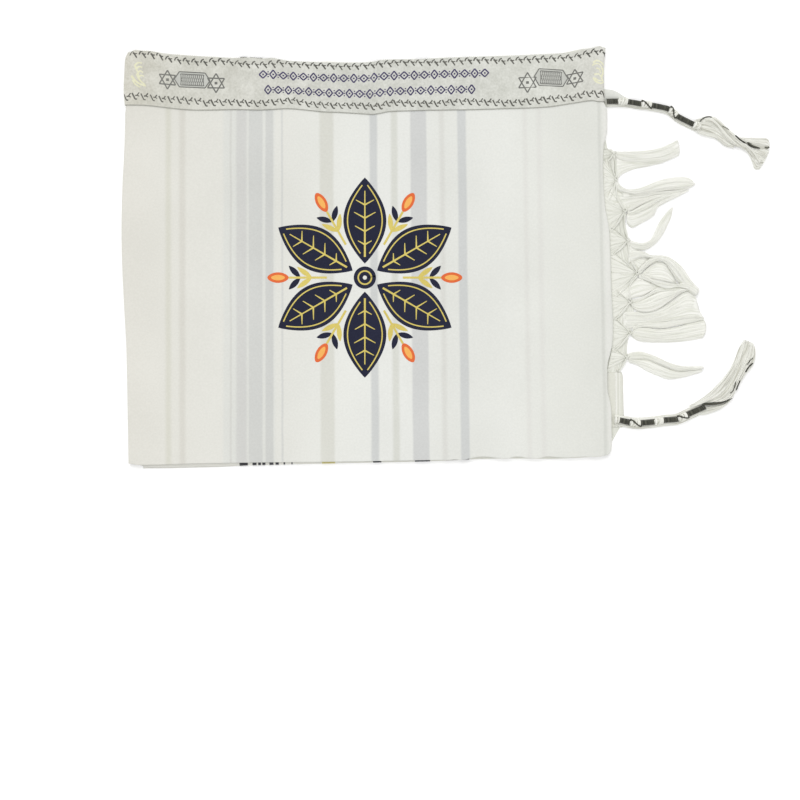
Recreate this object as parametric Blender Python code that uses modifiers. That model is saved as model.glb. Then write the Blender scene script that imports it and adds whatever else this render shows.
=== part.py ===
"""A prayer shawl folded in three and laid flat: +X to its fringed end, +Y to the neck band, +Z up."""

import math
from collections import namedtuple

import bmesh
import bpy
from mathutils import Vector

MM = 0.001

# Cloth walls and the gap kept between pieces, in mm.
CLOTH_WALL = 1.2
BAND_WALL = 1.0
SEAM_GAP = 0.3
LAYER_GAP = 0.4

# Heights in mm: the lowest sheet, the middle sheet, and the front cloth's middle surface at its folds.
LOW_SHEET_TOP = 1.4
MID_SHEET_BOTTOM = 2.0
MID_SHEET_TOP = 3.1
FOLD_TOP_MID = 5.6
LEFT_TURN_MID = CLOTH_WALL / 2
RIGHT_TURN_MID = LOW_SHEET_TOP + SEAM_GAP + CLOTH_WALL / 2

# Turned-under lengths behind the two folds, in mm.
LEFT_TURN = 13.0
RIGHT_TURN = 4.0

# The front cloth's grid: columns, rows below the band and rows under the band.
COLUMNS = 30
ROWS_BELOW_BAND = 14
ROWS_IN_BAND = 3
BAND_START = 0.872
FOLD_STEPS = 5
TURN_STEPS = 2
BAND_SWEEP = 124.0

# Nominal rectangle that the edge tables are read over, in mm.
NOMINAL_LEFT = -295.0
NOMINAL_RIGHT = 290.0
NOMINAL_HALF_HEIGHT = 250.0

# Edges of the folded shawl, in mm. Columns: position along the edge, position of the edge.
LEFT_EDGE = (
    (-250.0, -291.4), (-200.0, -292.2), (-110.0, -294.0), (-60.0, -296.6), (-15.0, -298.8),
    (30.0, -299.8), (80.0, -299.0), (130.0, -296.6), (178.0, -295.4), (202.0, -297.2),
    (226.0, -296.4), (243.0, -295.2), (250.0, -292.2),
)
RIGHT_EDGE = (
    (-250.0, 288.4), (-240.0, 292.6), (-232.0, 295.6), (-218.0, 296.5), (-130.0, 294.0),
    (-52.0, 290.6), (69.0, 287.4), (190.0, 284.8), (228.0, 284.8), (250.0, 286.6),
)
BOTTOM_EDGE = (
    (-295.0, -249.5), (-286.0, -253.6), (-265.0, -254.0), (-228.0, -253.0), (-180.0, -251.8),
    (-132.0, -250.6), (-83.0, -249.4), (-35.0, -248.2), (37.0, -246.8), (86.0, -245.6),
    (134.0, -243.4), (183.0, -243.2), (231.0, -244.2), (255.0, -242.4), (279.0, -241.6),
    (290.0, -238.0),
)
TOP_EDGE = (
    (-295.0, 249.0), (-277.0, 252.6), (-262.0, 250.2), (-247.0, 248.1), (-204.0, 244.8),
    (-180.0, 242.8), (-156.0, 243.8), (-108.0, 240.8), (-84.0, 237.8), (-35.0, 237.2),
    (1.0, 237.4), (13.0, 239.2), (62.0, 242.0), (134.0, 244.4), (231.0, 247.0),
    (255.0, 251.4), (272.0, 255.2), (280.0, 255.2), (290.0, 251.6),
)

# Rise of the front cloth between its folds, in mm.
LOFT = 1.5
LOFT_POWER = 6

# Soft ridges in the front cloth. Columns in mm: x, y, half length, half width, heading in degrees, height.
RIDGES = (
    (-205.0, -30.0, 190.0, 26.0, 88.0, 0.7),
    (-95.0, 40.0, 170.0, 22.0, 91.0, -0.6),
    (175.0, -60.0, 190.0, 24.0, 92.0, 0.8),
    (245.0, 60.0, 150.0, 20.0, 90.0, -0.5),
    (5.0, 150.0, 60.0, 20.0, 80.0, -0.7),
    (-250.0, -195.0, 34.0, 20.0, 12.0, 0.6),
    (60.0, -200.0, 120.0, 26.0, 96.0, 0.5),
)

# How far the middle and lowest sheets show beyond the front's lower edge, in mm. Columns: x, reach.
LOW_SHEET_REACH = (
    (-295.0, 0.4), (-272.0, 2.2), (-168.0, 2.4), (-150.0, 1.4), (0.0, 1.5), (112.0, 1.5),
    (140.0, 0.8), (290.0, 0.4),
)
MID_SHEET_REACH = ((-295.0, 0.2), (-250.0, 0.9), (110.0, 0.9), (150.0, 0.3), (290.0, 0.0))
TOP_RECESS = 2.0
RIM_STEP = 2.2
RIM_ROUND = 0.4
MID_SHEET_LEFT_INSET = 0.8
OUTLINE_STEPS = 18

# Right end of the lowest sheet, in mm. Columns: y, x.
LOW_SHEET_END = (
    (-241.5, 282.0), (-227.0, 292.6), (-207.0, 303.6), (-140.0, 303.6), (-125.0, 299.0),
    (-100.0, 296.4), (69.0, 292.4), (130.0, 289.6), (154.0, 284.0), (178.0, 283.2),
    (183.0, 288.0), (188.0, 296.0), (191.0, 303.6), (195.0, 299.0), (198.5, 294.0),
    (202.0, 288.2), (205.0, 283.4), (248.0, 283.0),
)

# Core that joins the sheets well inside their edges, in mm.
CORE_INSET = 7.0
CORE_BOTTOM = 0.7
CORE_TOP = 2.9

# Strip at the end of the lowest sheet that the fringe hangs from, in mm.
STRIP_LOW = -139.0
STRIP_HIGH = 131.0
STRIP_WIDTH = 4.0
STRIP_BOTTOM = 0.2
STRIP_STEPS = 14
FLOOR_CLEARANCE = 0.3

# Fringe locks, cords and knots, in mm.
LOCK_HALF = 1.4
LOCK_HALF_LEAST = 0.9
LOCK_HALF_MOST = 2.3
LOCK_APART = 0.7
LOCK_TIP_SHARE = 0.6
LOCK_STEPS = 6
LOCK_STAGGER = 0.5
LOCK_TRIM = 0.05
UPPER_RISE = 2.9
CORD_HALF = 1.2
CORD_STEPS = 3
CORD_SAG = 1.1
CORD_ROOT_INSET = 1.6
KNOT_RADIUS = 3.1
KNOT_SIDES = 6
KNOT_BALL = ((-1.0, 0.55), (-0.6, 1.0), (0.6, 1.0), (1.0, 0.55))
STRAND_SIDES = 4

# How a strand's direction is read, how soon it settles on its height, and its least offset in mm.
LOOK_AHEAD = 0.02
SETTLE_RATE = 3.0
LEAST_SPREAD = 0.2
TRIM_PATTERN = (0, 3, 2, 1)
TAPER_POWER = 4

# Fringe tassels. Paths and widths in mm; rise lifts a tassel that lies on another one.
Tassel = namedtuple("Tassel", "path widths locks rise")
TASSELS = (
    Tassel(((287.6, 112.5), (313.4, 116.2), (334.0, 118.6), (354.5, 123.4), (376.3, 132.0)),
           (15.0, 15.0, 14.0, 17.0, 20.0), 5, 0.0),
    Tassel(((300.0, 95.5), (312.0, 100.0), (330.0, 110.5)), (4.0, 7.0, 8.0), 2, 0.0),
    Tassel(((300.1, 90.3), (315.8, 81.4), (334.0, 79.9), (359.4, 85.9), (394.0, 91.0)),
           (6.0, 13.0, 15.0, 16.0, 9.0), 4, 0.0),
    Tassel(((311.0, 54.0), (327.9, 52.8), (346.1, 62.9), (363.0, 71.4), (379.9, 80.0)),
           (6.0, 27.0, 30.0, 20.0, 7.0), 7, 0.0),
    Tassel(((314.6, 19.9), (325.5, 12.1), (337.6, 13.9), (348.5, 25.4), (358.2, 42.4),
            (367.8, 60.5)), (5.0, 9.0, 10.0, 8.0, 5.0, 3.0), 2, 0.0),
    Tassel(((325.5, -19.4), (332.8, -8.5), (347.3, -1.8), (361.8, -8.5), (375.1, -21.8),
            (397.5, -40.5)), (6.0, 13.0, 15.0, 16.0, 17.0, 16.0), 5, UPPER_RISE),
    Tassel(((325.5, -20.8), (340.0, -27.8), (354.5, -31.5), (374.0, -33.0)),
           (5.0, 12.0, 15.0, 14.0), 4, 0.0),
    Tassel(((317.0, -54.4), (331.5, -55.7), (348.5, -50.2), (364.2, -44.2), (382.0, -38.5)),
           (5.0, 16.0, 19.0, 14.0, 5.0), 5, UPPER_RISE),
    Tassel(((293.0, -81.0), (322.0, -78.0), (344.0, -70.0), (368.0, -58.5), (396.0, -51.0)),
           (8.0, 10.0, 18.0, 26.0, 30.0), 7, 0.0),
    Tassel(((317.0, -92.0), (334.0, -93.8), (354.5, -93.8), (378.7, -90.8), (408.4, -85.5)),
           (5.0, 17.0, 20.0, 22.0, 22.0), 6, 0.0),
    Tassel(((313.4, -121.6), (327.9, -124.0), (346.1, -129.5), (366.6, -137.9), (386.0, -138.5),
            (407.0, -133.1)), (5.0, 14.0, 17.0, 18.0, 12.0, 5.0), 5, 0.0),
)

# Knots of the fringe's net, in mm. Columns: x, y, heights along the strip that its cords come from.
Knot = namedtuple("Knot", "x y cords")
KNOTS = (
    Knot(299.5, 94.0, (102.9, 86.0, 69.0)),
    Knot(310.0, 55.5, (68.0, 42.4)),
    Knot(314.0, 20.5, (38.0, 8.5)),
    Knot(325.0, -19.8, (5.0, -33.9)),
    Knot(316.4, -54.4, (-40.0, -77.4)),
    Knot(316.4, -92.0, (-84.0, -110.0)),
    Knot(312.6, -121.4, (-119.0, -136.0)),
)
NET_LINKS = (((314.0, 20.5), (325.0, -19.8)), ((310.0, 55.5), (314.0, 20.5)))

# Wound shanks of the corner tassels, in mm. Each piece has a kind and a length along the shank.
SHANK_SIDES = 8
WOUND_RADIUS = 3.2
WOUND_GROOVE = 0.45
RIB_LENGTH = 4.2
KNOT_BULGE = 4.3
SHANK_LIFT = 4.7
ROOT_LIFT = 5.9
ROOT_LENGTH = 32.0
SHANK_KNOT = ((0.04, WOUND_RADIUS), (0.25, KNOT_BULGE), (0.75, KNOT_BULGE), (0.96, WOUND_RADIUS))
SHANK_RIB = ((0.08, WOUND_RADIUS - WOUND_GROOVE), (0.5, WOUND_RADIUS))
SHANK_RIB_END = (0.98, WOUND_RADIUS - WOUND_GROOVE)
TOP_SHANK = (
    (287.9, 188.3), (301.8, 188.6), (313.4, 188.2), (329.7, 185.6), (344.0, 183.6),
    (363.4, 179.1), (372.7, 171.2), (392.6, 160.9), (400.5, 157.3),
)
TOP_PIECES = (
    ("wound", 14.0), ("knot", 12.0), ("wound", 16.0), ("knot", 14.0), ("wound", 20.0),
    ("knot", 11.0), ("wound", 21.0), ("knot", 9.0),
)
TOP_BUNDLE = (
    (400.5, 157.3), (414.0, 156.6), (427.1, 151.4), (439.2, 143.2), (451.3, 139.0),
    (464.0, 134.0), (477.9, 125.6),
)
TOP_BUNDLE_WIDTHS = (9.0, 21.0, 24.0, 18.0, 10.0, 22.0, 30.0)
BOTTOM_SHANK = (
    (297.4, -197.0), (303.1, -197.2), (317.0, -200.6), (329.1, -200.9), (344.8, -198.8),
    (357.6, -197.7), (375.1, -196.0), (385.5, -191.4), (406.8, -181.1),
)
BOTTOM_PIECES = (
    ("knot", 7.0), ("wound", 14.0), ("knot", 12.0), ("wound", 16.0), ("knot", 12.0),
    ("wound", 17.0), ("knot", 13.0), ("wound", 18.0), ("knot", 5.0),
)
BOTTOM_BUNDLE = (
    (404.8, -182.1), (424.0, -172.4), (436.2, -160.0), (446.5, -145.2), (453.8, -130.1),
    (458.8, -115.0), (461.2, -101.6),
)
BOTTOM_BUNDLE_WIDTHS = (8.0, 17.0, 21.0, 23.0, 23.0, 21.0, 17.0)
BUNDLE_LOWER = 5
BUNDLE_UPPER = 4
BUNDLE_HALF = 1.15
BUNDLE_TIP_HALF = 0.8
BUNDLE_STEPS = 8
BUNDLE_LOW_LIFT = 1.7
BUNDLE_HIGH_LIFT = 4.3
BUNDLE_TRIM = 0.06
BUNDLE_UPPER_SHARE = 0.8

# Looks of the pieces. Columns: red, green, blue, roughness, metallic.
LOOKS = {
    "shawl_cloth": (0.80, 0.79, 0.74, 0.85, 0.0),
    "band_ribbon": (0.62, 0.62, 0.57, 0.55, 0.0),
    "fringe_yarn": (0.82, 0.82, 0.75, 0.8, 0.0),
    "tassel_yarn": (0.70, 0.70, 0.64, 0.8, 0.0),
}


def lerp(start, end, share):
    """The value this share of the way from start to end."""
    return start + (end - start) * share


def table_value(table, at):
    """The value between the neighbouring rows of a two-column table, held beyond its ends."""
    for (here, value), (there, following) in zip(table, table[1:]):
        if at <= there:
            return lerp(value, following, max(at - here, 0.0) / (there - here))
    return table[-1][1]


def smooth_at(points, share):
    """A point on the smooth line through the given points, at a share of the way along them."""
    count = len(points) - 1
    place = min(max(share, 0.0), 1.0) * count
    start = min(int(place), count - 1)
    part = place - start
    before = Vector(points[max(start - 1, 0)])
    here = Vector(points[start])
    there = Vector(points[start + 1])
    after = Vector(points[min(start + 2, count)])
    return 0.5 * (
        2 * here
        + (there - before) * part
        + (2 * before - 5 * here + 4 * there - after) * part**2
        + (3 * here - before - 3 * there + after) * part**3
    )


def centre_and_side(line, share):
    """A point of a smooth line in plan, and the level direction square to the line there."""
    ahead = smooth_at(line, share + LOOK_AHEAD) - smooth_at(line, share - LOOK_AHEAD)
    return smooth_at(line, share), Vector((-ahead.y, ahead.x)).normalized()


def width_at(widths, share):
    """A width at a share of the way along an evenly spaced list of widths."""
    count = len(widths) - 1
    place = min(max(share, 0.0), 1.0) * count
    start = min(int(place), count - 1)
    return lerp(widths[start], widths[start + 1], place - start)


def lift_at(x, y, across, along):
    """Rise of the front cloth above its height at the folds, with its soft ridges."""
    window = (1 - abs(2 * across - 1) ** LOFT_POWER) * (1 - abs(2 * along - 1) ** LOFT_POWER)
    rise = LOFT
    for ridge_x, ridge_y, half_length, half_width, heading, height in RIDGES:
        turn = math.radians(heading)
        along_ridge = (x - ridge_x) * math.cos(turn) + (y - ridge_y) * math.sin(turn)
        off_ridge = (y - ridge_y) * math.cos(turn) - (x - ridge_x) * math.sin(turn)
        rise += height * math.exp(-((along_ridge / half_length) ** 2) - (off_ridge / half_width) ** 2)
    return rise * window


def row_edges(along):
    """Left and right limits of the front cloth in a row, inset where the band wraps it."""
    y = lerp(-NOMINAL_HALF_HEIGHT, NOMINAL_HALF_HEIGHT, along)
    inset = BAND_WALL + SEAM_GAP if along >= BAND_START else 0.0
    return table_value(LEFT_EDGE, y) + inset, table_value(RIGHT_EDGE, y) - inset


def row_y(across, along):
    """The y of a point a share across and a share up the folded shawl."""
    x = lerp(NOMINAL_LEFT, NOMINAL_RIGHT, across)
    return lerp(table_value(BOTTOM_EDGE, x), table_value(TOP_EDGE, x), along)


def front_rows():
    """Shares up the shawl of the grid's rows, with one on the band's lower edge."""
    below = [BAND_START * i / ROWS_BELOW_BAND for i in range(ROWS_BELOW_BAND)]
    inside = [lerp(BAND_START, 1.0, i / ROWS_IN_BAND) for i in range(ROWS_IN_BAND + 1)]
    return below + inside


def front_point(across, along):
    """A point of the front cloth's middle surface between the folds."""
    left, right = row_edges(along)
    left_radius = (FOLD_TOP_MID - LEFT_TURN_MID) / 2 + CLOTH_WALL / 2
    right_radius = (FOLD_TOP_MID - RIGHT_TURN_MID) / 2 + CLOTH_WALL / 2
    x = lerp(left + left_radius, right - right_radius, across)
    y = row_y(across, along)
    return Vector((x, y, FOLD_TOP_MID + lift_at(x, y, across, along)))


def fold_arc(centre_x, y, turn_mid, side, sweep):
    """Points and outward directions round a fold, from the top surface down through the sweep."""
    radius = (FOLD_TOP_MID - turn_mid) / 2
    centre = Vector((centre_x, y, turn_mid + radius))
    arc = []
    for i in range(1, FOLD_STEPS + 1):
        turn = math.radians(90.0 - sweep * i / FOLD_STEPS)
        out = Vector((side * math.cos(turn), 0.0, math.sin(turn)))
        arc.append((centre + out * radius, out))
    return arc


def cloth_row(along, sweep, left_turn, right_turn):
    """One row of the front cloth: points and outward directions, left turn-under to right one."""
    up = Vector((0.0, 0.0, 1.0))
    top = [(front_point(i / COLUMNS, along), up) for i in range(COLUMNS + 1)]
    first, last = top[0][0], top[-1][0]
    left = fold_arc(first.x, first.y, LEFT_TURN_MID, -1.0, sweep)
    right = fold_arc(last.x, last.y, RIGHT_TURN_MID, 1.0, sweep)
    for i in range(1, TURN_STEPS + 1):
        if left_turn:
            x = first.x + left_turn * i / TURN_STEPS
            left.append((Vector((x, first.y, LEFT_TURN_MID)), -up))
        if right_turn:
            x = last.x - right_turn * i / TURN_STEPS
            right.append((Vector((x, last.y, RIGHT_TURN_MID)), -up))
    return left[::-1] + top + right


def new_object(name, verts, faces, look):
    """A mesh object with its own material, its points given in mm."""
    mesh = bpy.data.meshes.new(name)
    mesh.from_pydata([tuple(Vector(point) * MM) for point in verts], [], faces)
    body = bmesh.new()
    body.from_mesh(mesh)
    bmesh.ops.recalc_face_normals(body, faces=body.faces)
    body.to_mesh(mesh)
    body.free()
    obj = bpy.data.objects.new(name, mesh)
    obj.data.materials.append(look)
    return obj


def new_look(name, owner):
    """A Principled material of a named look, for one piece."""
    red, green, blue, roughness, metallic = LOOKS[name]
    look = bpy.data.materials.new(f"{owner}_{name}")
    look.use_nodes = True
    shader = look.node_tree.nodes["Principled BSDF"]
    shader.inputs["Base Color"].default_value = (red, green, blue, 1.0)
    shader.inputs["Roughness"].default_value = roughness
    shader.inputs["Metallic"].default_value = metallic
    return look


def shell(rows, inner_offset, outer_offset):
    """Verts and faces of a closed wall between two offsets of rows of points and directions."""
    count = len(rows[0])
    verts = []
    for offset in (inner_offset, outer_offset):
        for row in rows:
            verts.extend(point + out * offset for point, out in row)
    layer = len(rows) * count
    faces = []
    for j in range(len(rows) - 1):
        for i in range(count - 1):
            a = j * count + i
            quad = (a, a + 1, a + 1 + count, a + count)
            faces.append(quad)
            faces.append(tuple(layer + corner for corner in reversed(quad)))
    bottom = list(range(count))
    top = list(range((len(rows) - 1) * count, layer))
    left = list(range(0, layer, count))
    right = list(range(count - 1, layer, count))
    for edge in (bottom, top, left, right):
        for a, b in zip(edge, edge[1:]):
            faces.append((a, b, layer + b, layer + a))
    return verts, faces


def tube(path, halves, sides, start_turn=0.0, breadths=None):
    """Verts and faces of a capped tube along nearly level points, as broad as asked."""
    verts = []
    breadths = breadths or halves
    for i, point in enumerate(path):
        ahead = path[min(i + 1, len(path) - 1)] - path[max(i - 1, 0)]
        side = Vector((-ahead.y, ahead.x, 0.0)).normalized()
        over = ahead.cross(side).normalized()
        for k in range(sides):
            turn = math.tau * k / sides + start_turn
            out = side * math.cos(turn) * breadths[i] + over * math.sin(turn) * halves[i]
            verts.append(point + out)
    faces = [tuple(range(sides)), tuple(range(len(verts) - sides, len(verts)))]
    for i in range(len(path) - 1):
        for k in range(sides):
            a = i * sides + k
            b = i * sides + (k + 1) % sides
            faces.append((a, b, b + sides, a + sides))
    return verts, faces


def prism(outline, bottom, top):
    """Verts and faces of an upright prism over an outline."""
    count = len(outline)
    verts = [(x, y, bottom) for x, y in outline] + [(x, y, top) for x, y in outline]
    faces = [tuple(range(count)), tuple(range(count, 2 * count))]
    for i in range(count):
        following = (i + 1) % count
        faces.append((i, following, count + following, count + i))
    return verts, faces


def round_rims(obj, width):
    """Softens a sheet's rims with a bevel."""
    bevel = obj.modifiers.new("rim", "BEVEL")
    bevel.width = width * MM
    bevel.segments = 1
    bevel.limit_method = "ANGLE"
    bevel.angle_limit = math.radians(60.0)


def unite(base, pieces, owner):
    """Makes the base and the pieces one solid, the pieces kept in their own hidden collection."""
    group = bpy.data.collections.new(f"{base.name}_pieces")
    owner.children.link(group)
    group.hide_render = True
    for piece in pieces:
        group.objects.link(piece)
        piece.hide_render = True
        piece.display_type = "WIRE"
    union = base.modifiers.new("union", "BOOLEAN")
    union.operation = "UNION"
    union.solver = "EXACT"
    union.use_self = True
    union.operand_type = "COLLECTION"
    union.collection = group


def front_panel(look):
    """The front cloth with both folds and what turns under behind them."""
    rows = [cloth_row(along, 180.0, LEFT_TURN, RIGHT_TURN) for along in front_rows()]
    verts, faces = shell(rows, -CLOTH_WALL / 2, CLOTH_WALL / 2)
    return new_object("front_panel", verts, faces, look)


def neck_band(look):
    """The woven band laid on the front cloth's upper edge and round both folds."""
    rows = [cloth_row(along, BAND_SWEEP, 0.0, 0.0) for along in front_rows() if along >= BAND_START]
    inner = CLOTH_WALL / 2 + SEAM_GAP
    verts, faces = shell(rows, inner, inner + BAND_WALL)
    return new_object("neck_band", verts, faces, look)


def mid_point(across, along, inset, z):
    """A point of the middle sheet's rim, moved in by the inset."""
    left, right = row_edges(along)
    left_radius = (FOLD_TOP_MID - LEFT_TURN_MID) / 2 + CLOTH_WALL / 2
    right_radius = (FOLD_TOP_MID - RIGHT_TURN_MID) / 2 + CLOTH_WALL / 2
    low_x = left + left_radius + MID_SHEET_LEFT_INSET + inset
    high_x = right - right_radius - RIGHT_TURN - LAYER_GAP - inset
    x_nominal = lerp(NOMINAL_LEFT, NOMINAL_RIGHT, across)
    low_y = table_value(BOTTOM_EDGE, x_nominal) - table_value(MID_SHEET_REACH, x_nominal) + inset
    high_y = table_value(TOP_EDGE, x_nominal) - TOP_RECESS - inset
    x = lerp(low_x, high_x, across)
    y = lerp(low_y, high_y, along)
    if z is None:
        under = FOLD_TOP_MID - CLOTH_WALL / 2 - LAYER_GAP
        z = under + lift_at(x, y, across, along)
    return Vector((x, y, z))


def middle_sheet(look):
    """The middle sheet and the soft fill over it up to the front cloth, stepped at the rim."""
    rows = front_rows()
    count = COLUMNS + 1
    verts = []
    for along in rows:
        verts.extend(mid_point(i / COLUMNS, along, RIM_STEP, None) for i in range(count))
    faces = []
    for j in range(len(rows) - 1):
        for i in range(COLUMNS):
            a = j * count + i
            faces.append((a, a + 1, a + 1 + count, a + count))
    ring = [(i / COLUMNS, 0.0) for i in range(COLUMNS)]
    ring += [(1.0, along) for along in rows[:-1]]
    ring += [(1.0 - i / COLUMNS, 1.0) for i in range(COLUMNS)]
    ring += [(0.0, along) for along in rows[:0:-1]]
    rim = list(range(COLUMNS))
    rim += [j * count + COLUMNS for j in range(len(rows) - 1)]
    rim += [len(rows) * count - 1 - i for i in range(COLUMNS)]
    rim += [j * count for j in range(len(rows) - 1, 0, -1)]
    steps = (
        (RIM_STEP, MID_SHEET_TOP),
        (RIM_ROUND, MID_SHEET_TOP),
        (0.0, MID_SHEET_TOP - RIM_ROUND),
        (0.0, MID_SHEET_BOTTOM + RIM_ROUND),
        (RIM_ROUND, MID_SHEET_BOTTOM),
    )
    for inset, z in steps:
        start = len(verts)
        verts.extend(mid_point(across, along, inset, z) for across, along in ring)
        below = list(range(start, start + len(ring)))
        for i in range(len(ring)):
            following = (i + 1) % len(ring)
            faces.append((rim[i], rim[following], below[following], below[i]))
        rim = below
    faces.append(tuple(rim))
    return new_object("under_layers", verts, faces, look)


def low_sheet_left(y):
    """Left limit of the lowest sheet, clear of the front cloth's turned-under edge."""
    left_radius = (FOLD_TOP_MID - LEFT_TURN_MID) / 2 + CLOTH_WALL / 2
    return table_value(LEFT_EDGE, y) + BAND_WALL + left_radius + LEFT_TURN + LAYER_GAP + SEAM_GAP


def low_sheet_bottom(x):
    """Lower limit of the lowest sheet at an x."""
    return table_value(BOTTOM_EDGE, x) - table_value(LOW_SHEET_REACH, x)


def low_outline():
    """Outline of the lowest sheet, with room for the fringe's strip at its right end."""
    outline = []
    left = low_sheet_left(-NOMINAL_HALF_HEIGHT)
    right = LOW_SHEET_END[0][1]
    for i in range(OUTLINE_STEPS):
        x = lerp(left, right, i / OUTLINE_STEPS)
        outline.append((x, low_sheet_bottom(x)))
    outline.extend((x, y) for y, x in LOW_SHEET_END if y < STRIP_LOW - SEAM_GAP)
    outline.extend(notch_outline(STRIP_WIDTH + SEAM_GAP))
    outline.extend((x, y) for y, x in LOW_SHEET_END if y > STRIP_HIGH + SEAM_GAP)
    top = NOMINAL_HALF_HEIGHT
    for i in range(OUTLINE_STEPS):
        x = lerp(LOW_SHEET_END[-1][1], low_sheet_left(top), (i + 1) / OUTLINE_STEPS)
        outline.append((x, table_value(TOP_EDGE, x) - TOP_RECESS))
    for i in range(1, OUTLINE_STEPS):
        y = lerp(NOMINAL_HALF_HEIGHT, -NOMINAL_HALF_HEIGHT, i / OUTLINE_STEPS)
        outline.append((low_sheet_left(y), y))
    return outline


def notch_outline(notch):
    """The lowest sheet's end beside the strip, stepped in from the strip's outer edge."""
    low = STRIP_LOW - SEAM_GAP
    high = STRIP_HIGH + SEAM_GAP
    points = [(table_value(LOW_SHEET_END, low), low)]
    for i in range(STRIP_STEPS + 1):
        y = lerp(low, high, i / STRIP_STEPS)
        points.append((table_value(LOW_SHEET_END, y) - notch, y))
    points.append((table_value(LOW_SHEET_END, high), high))
    return points


def under_layers(look, owner):
    """The two hidden sheets as one solid, layered at its rims, flat underneath."""
    base = middle_sheet(look)
    lowest = new_object("lowest_sheet", *prism(low_outline(), 0.0, LOW_SHEET_TOP), look)
    round_rims(lowest, RIM_ROUND)
    half = NOMINAL_HALF_HEIGHT
    left = max(low_sheet_left(y) for y, _ in LEFT_EDGE) + CORE_INSET
    right = min(x for _, x in RIGHT_EDGE) - RIGHT_TURN - 2 * CORE_INSET
    low = max(y for _, y in BOTTOM_EDGE) + CORE_INSET
    high = min(y for _, y in TOP_EDGE) - CORE_INSET
    corners = ((left, low), (right, low), (right, high), (left, high))
    core = new_object("core", *prism(corners, CORE_BOTTOM, CORE_TOP), look)
    unite(base, (lowest, core), owner)
    return base


def fringe_strip(look):
    """The strip at the lowest sheet's end that the net and tassels hang from."""
    ys = [lerp(STRIP_LOW, STRIP_HIGH, i / STRIP_STEPS) for i in range(STRIP_STEPS + 1)]
    outline = [(table_value(LOW_SHEET_END, y), y) for y in ys]
    outline += [(table_value(LOW_SHEET_END, y) - STRIP_WIDTH, y) for y in reversed(ys)]
    return new_object("end_fringe", *prism(outline, STRIP_BOTTOM, LOW_SHEET_TOP), look)


def lock(tassel, index):
    """One lock of a tassel, fanned off its middle line and trimmed unevenly."""
    side = 2.0 * index / (tassel.locks - 1) - 1.0
    reach = 1.0 - LOCK_TRIM * TRIM_PATTERN[index % len(TRIM_PATTERN)]
    path = []
    halves = []
    breadths = []
    for i in range(LOCK_STEPS + 1):
        share = i / LOCK_STEPS
        place = share * reach
        centre, across = centre_and_side(tassel.path, place)
        width = width_at(tassel.widths, place)
        breadth = (width - LOCK_APART * (tassel.locks - 1)) / tassel.locks / 2
        breadth = min(max(breadth, LOCK_HALF_LEAST), LOCK_HALF_MOST)
        flat = centre + across * side * max(width / 2 - breadth, LEAST_SPREAD)
        rise = tassel.rise * min(share * SETTLE_RATE, 1.0)
        height = FLOOR_CLEARANCE + LOCK_HALF + LOCK_STAGGER * (index % 2) + rise
        path.append(Vector((flat.x, flat.y, height)))
        taper = lerp(1.0, LOCK_TIP_SHARE, share**TAPER_POWER)
        halves.append(LOCK_HALF * taper)
        breadths.append(breadth * taper)
    return tube(path, halves, STRAND_SIDES, 0.0, breadths)


def knot_ball(x, y):
    """A small knot of the net, as a short tube that swells in the middle."""
    height = FLOOR_CLEARANCE + KNOT_RADIUS
    path = [Vector((x + reach * KNOT_RADIUS, y, height)) for reach, _ in KNOT_BALL]
    halves = [KNOT_RADIUS * size for _, size in KNOT_BALL]
    return tube(path, halves, KNOT_SIDES, math.pi / KNOT_SIDES)


def cord(start, end, start_z, end_z):
    """A net cord that sags a little between its ends."""
    path = []
    for i in range(CORD_STEPS + 1):
        share = i / CORD_STEPS
        x = lerp(start[0], end[0], share)
        y = lerp(start[1], end[1], share) - CORD_SAG * math.sin(math.pi * share)
        path.append(Vector((x, y, lerp(start_z, end_z, share))))
    return tube(path, [CORD_HALF] * len(path), STRAND_SIDES)


def end_fringe(look, owner):
    """The knotted fringe of the shawl's end, fused to its strip."""
    base = fringe_strip(look)
    shapes = []
    for tassel in TASSELS:
        shapes.extend(lock(tassel, index) for index in range(tassel.locks))
    low = FLOOR_CLEARANCE + CORD_HALF
    for knot in KNOTS:
        shapes.append(knot_ball(knot.x, knot.y))
        for y in knot.cords:
            root = (table_value(LOW_SHEET_END, y) - CORD_ROOT_INSET, y)
            shapes.append(cord(root, (knot.x, knot.y), low, low + CORD_HALF))
    for start, end in NET_LINKS:
        shapes.append(cord(start, end, low + CORD_HALF, low + CORD_HALF))
    pieces = [new_object(f"fringe_piece_{i}", *shape, look) for i, shape in enumerate(shapes)]
    unite(base, pieces, owner)
    return base


def shank_profile(pieces):
    """Shares along the shank and radii there: ribbed where wound, swollen at knots."""
    total = sum(length for _, length in pieces)
    stations = []
    start = 0.0
    for kind, length in pieces:
        if kind == "knot":
            stations.extend(((start + length * share) / total, size) for share, size in SHANK_KNOT)
        else:
            ribs = max(round(length / RIB_LENGTH), 1)
            step = length / ribs
            for i in range(ribs):
                first = start + step * i
                stations.extend(((first + step * share) / total, size) for share, size in SHANK_RIB)
            end_share, end_size = SHANK_RIB_END
            stations.append(((start + length * end_share) / total, end_size))
        start += length
    return stations


def shank(name, line, pieces, look):
    """The wound and knotted cord of a corner tassel."""
    path = []
    halves = []
    reach = (Vector(line[-1]) - Vector(line[0])).length
    for share, radius in shank_profile(pieces):
        flat = smooth_at(line, share)
        lift = lerp(ROOT_LIFT, SHANK_LIFT, min(share * reach / ROOT_LENGTH, 1.0))
        path.append(Vector((flat.x, flat.y, lift)))
        halves.append(radius)
    return new_object(name, *tube(path, halves, SHANK_SIDES, math.pi / SHANK_SIDES), look)


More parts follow.
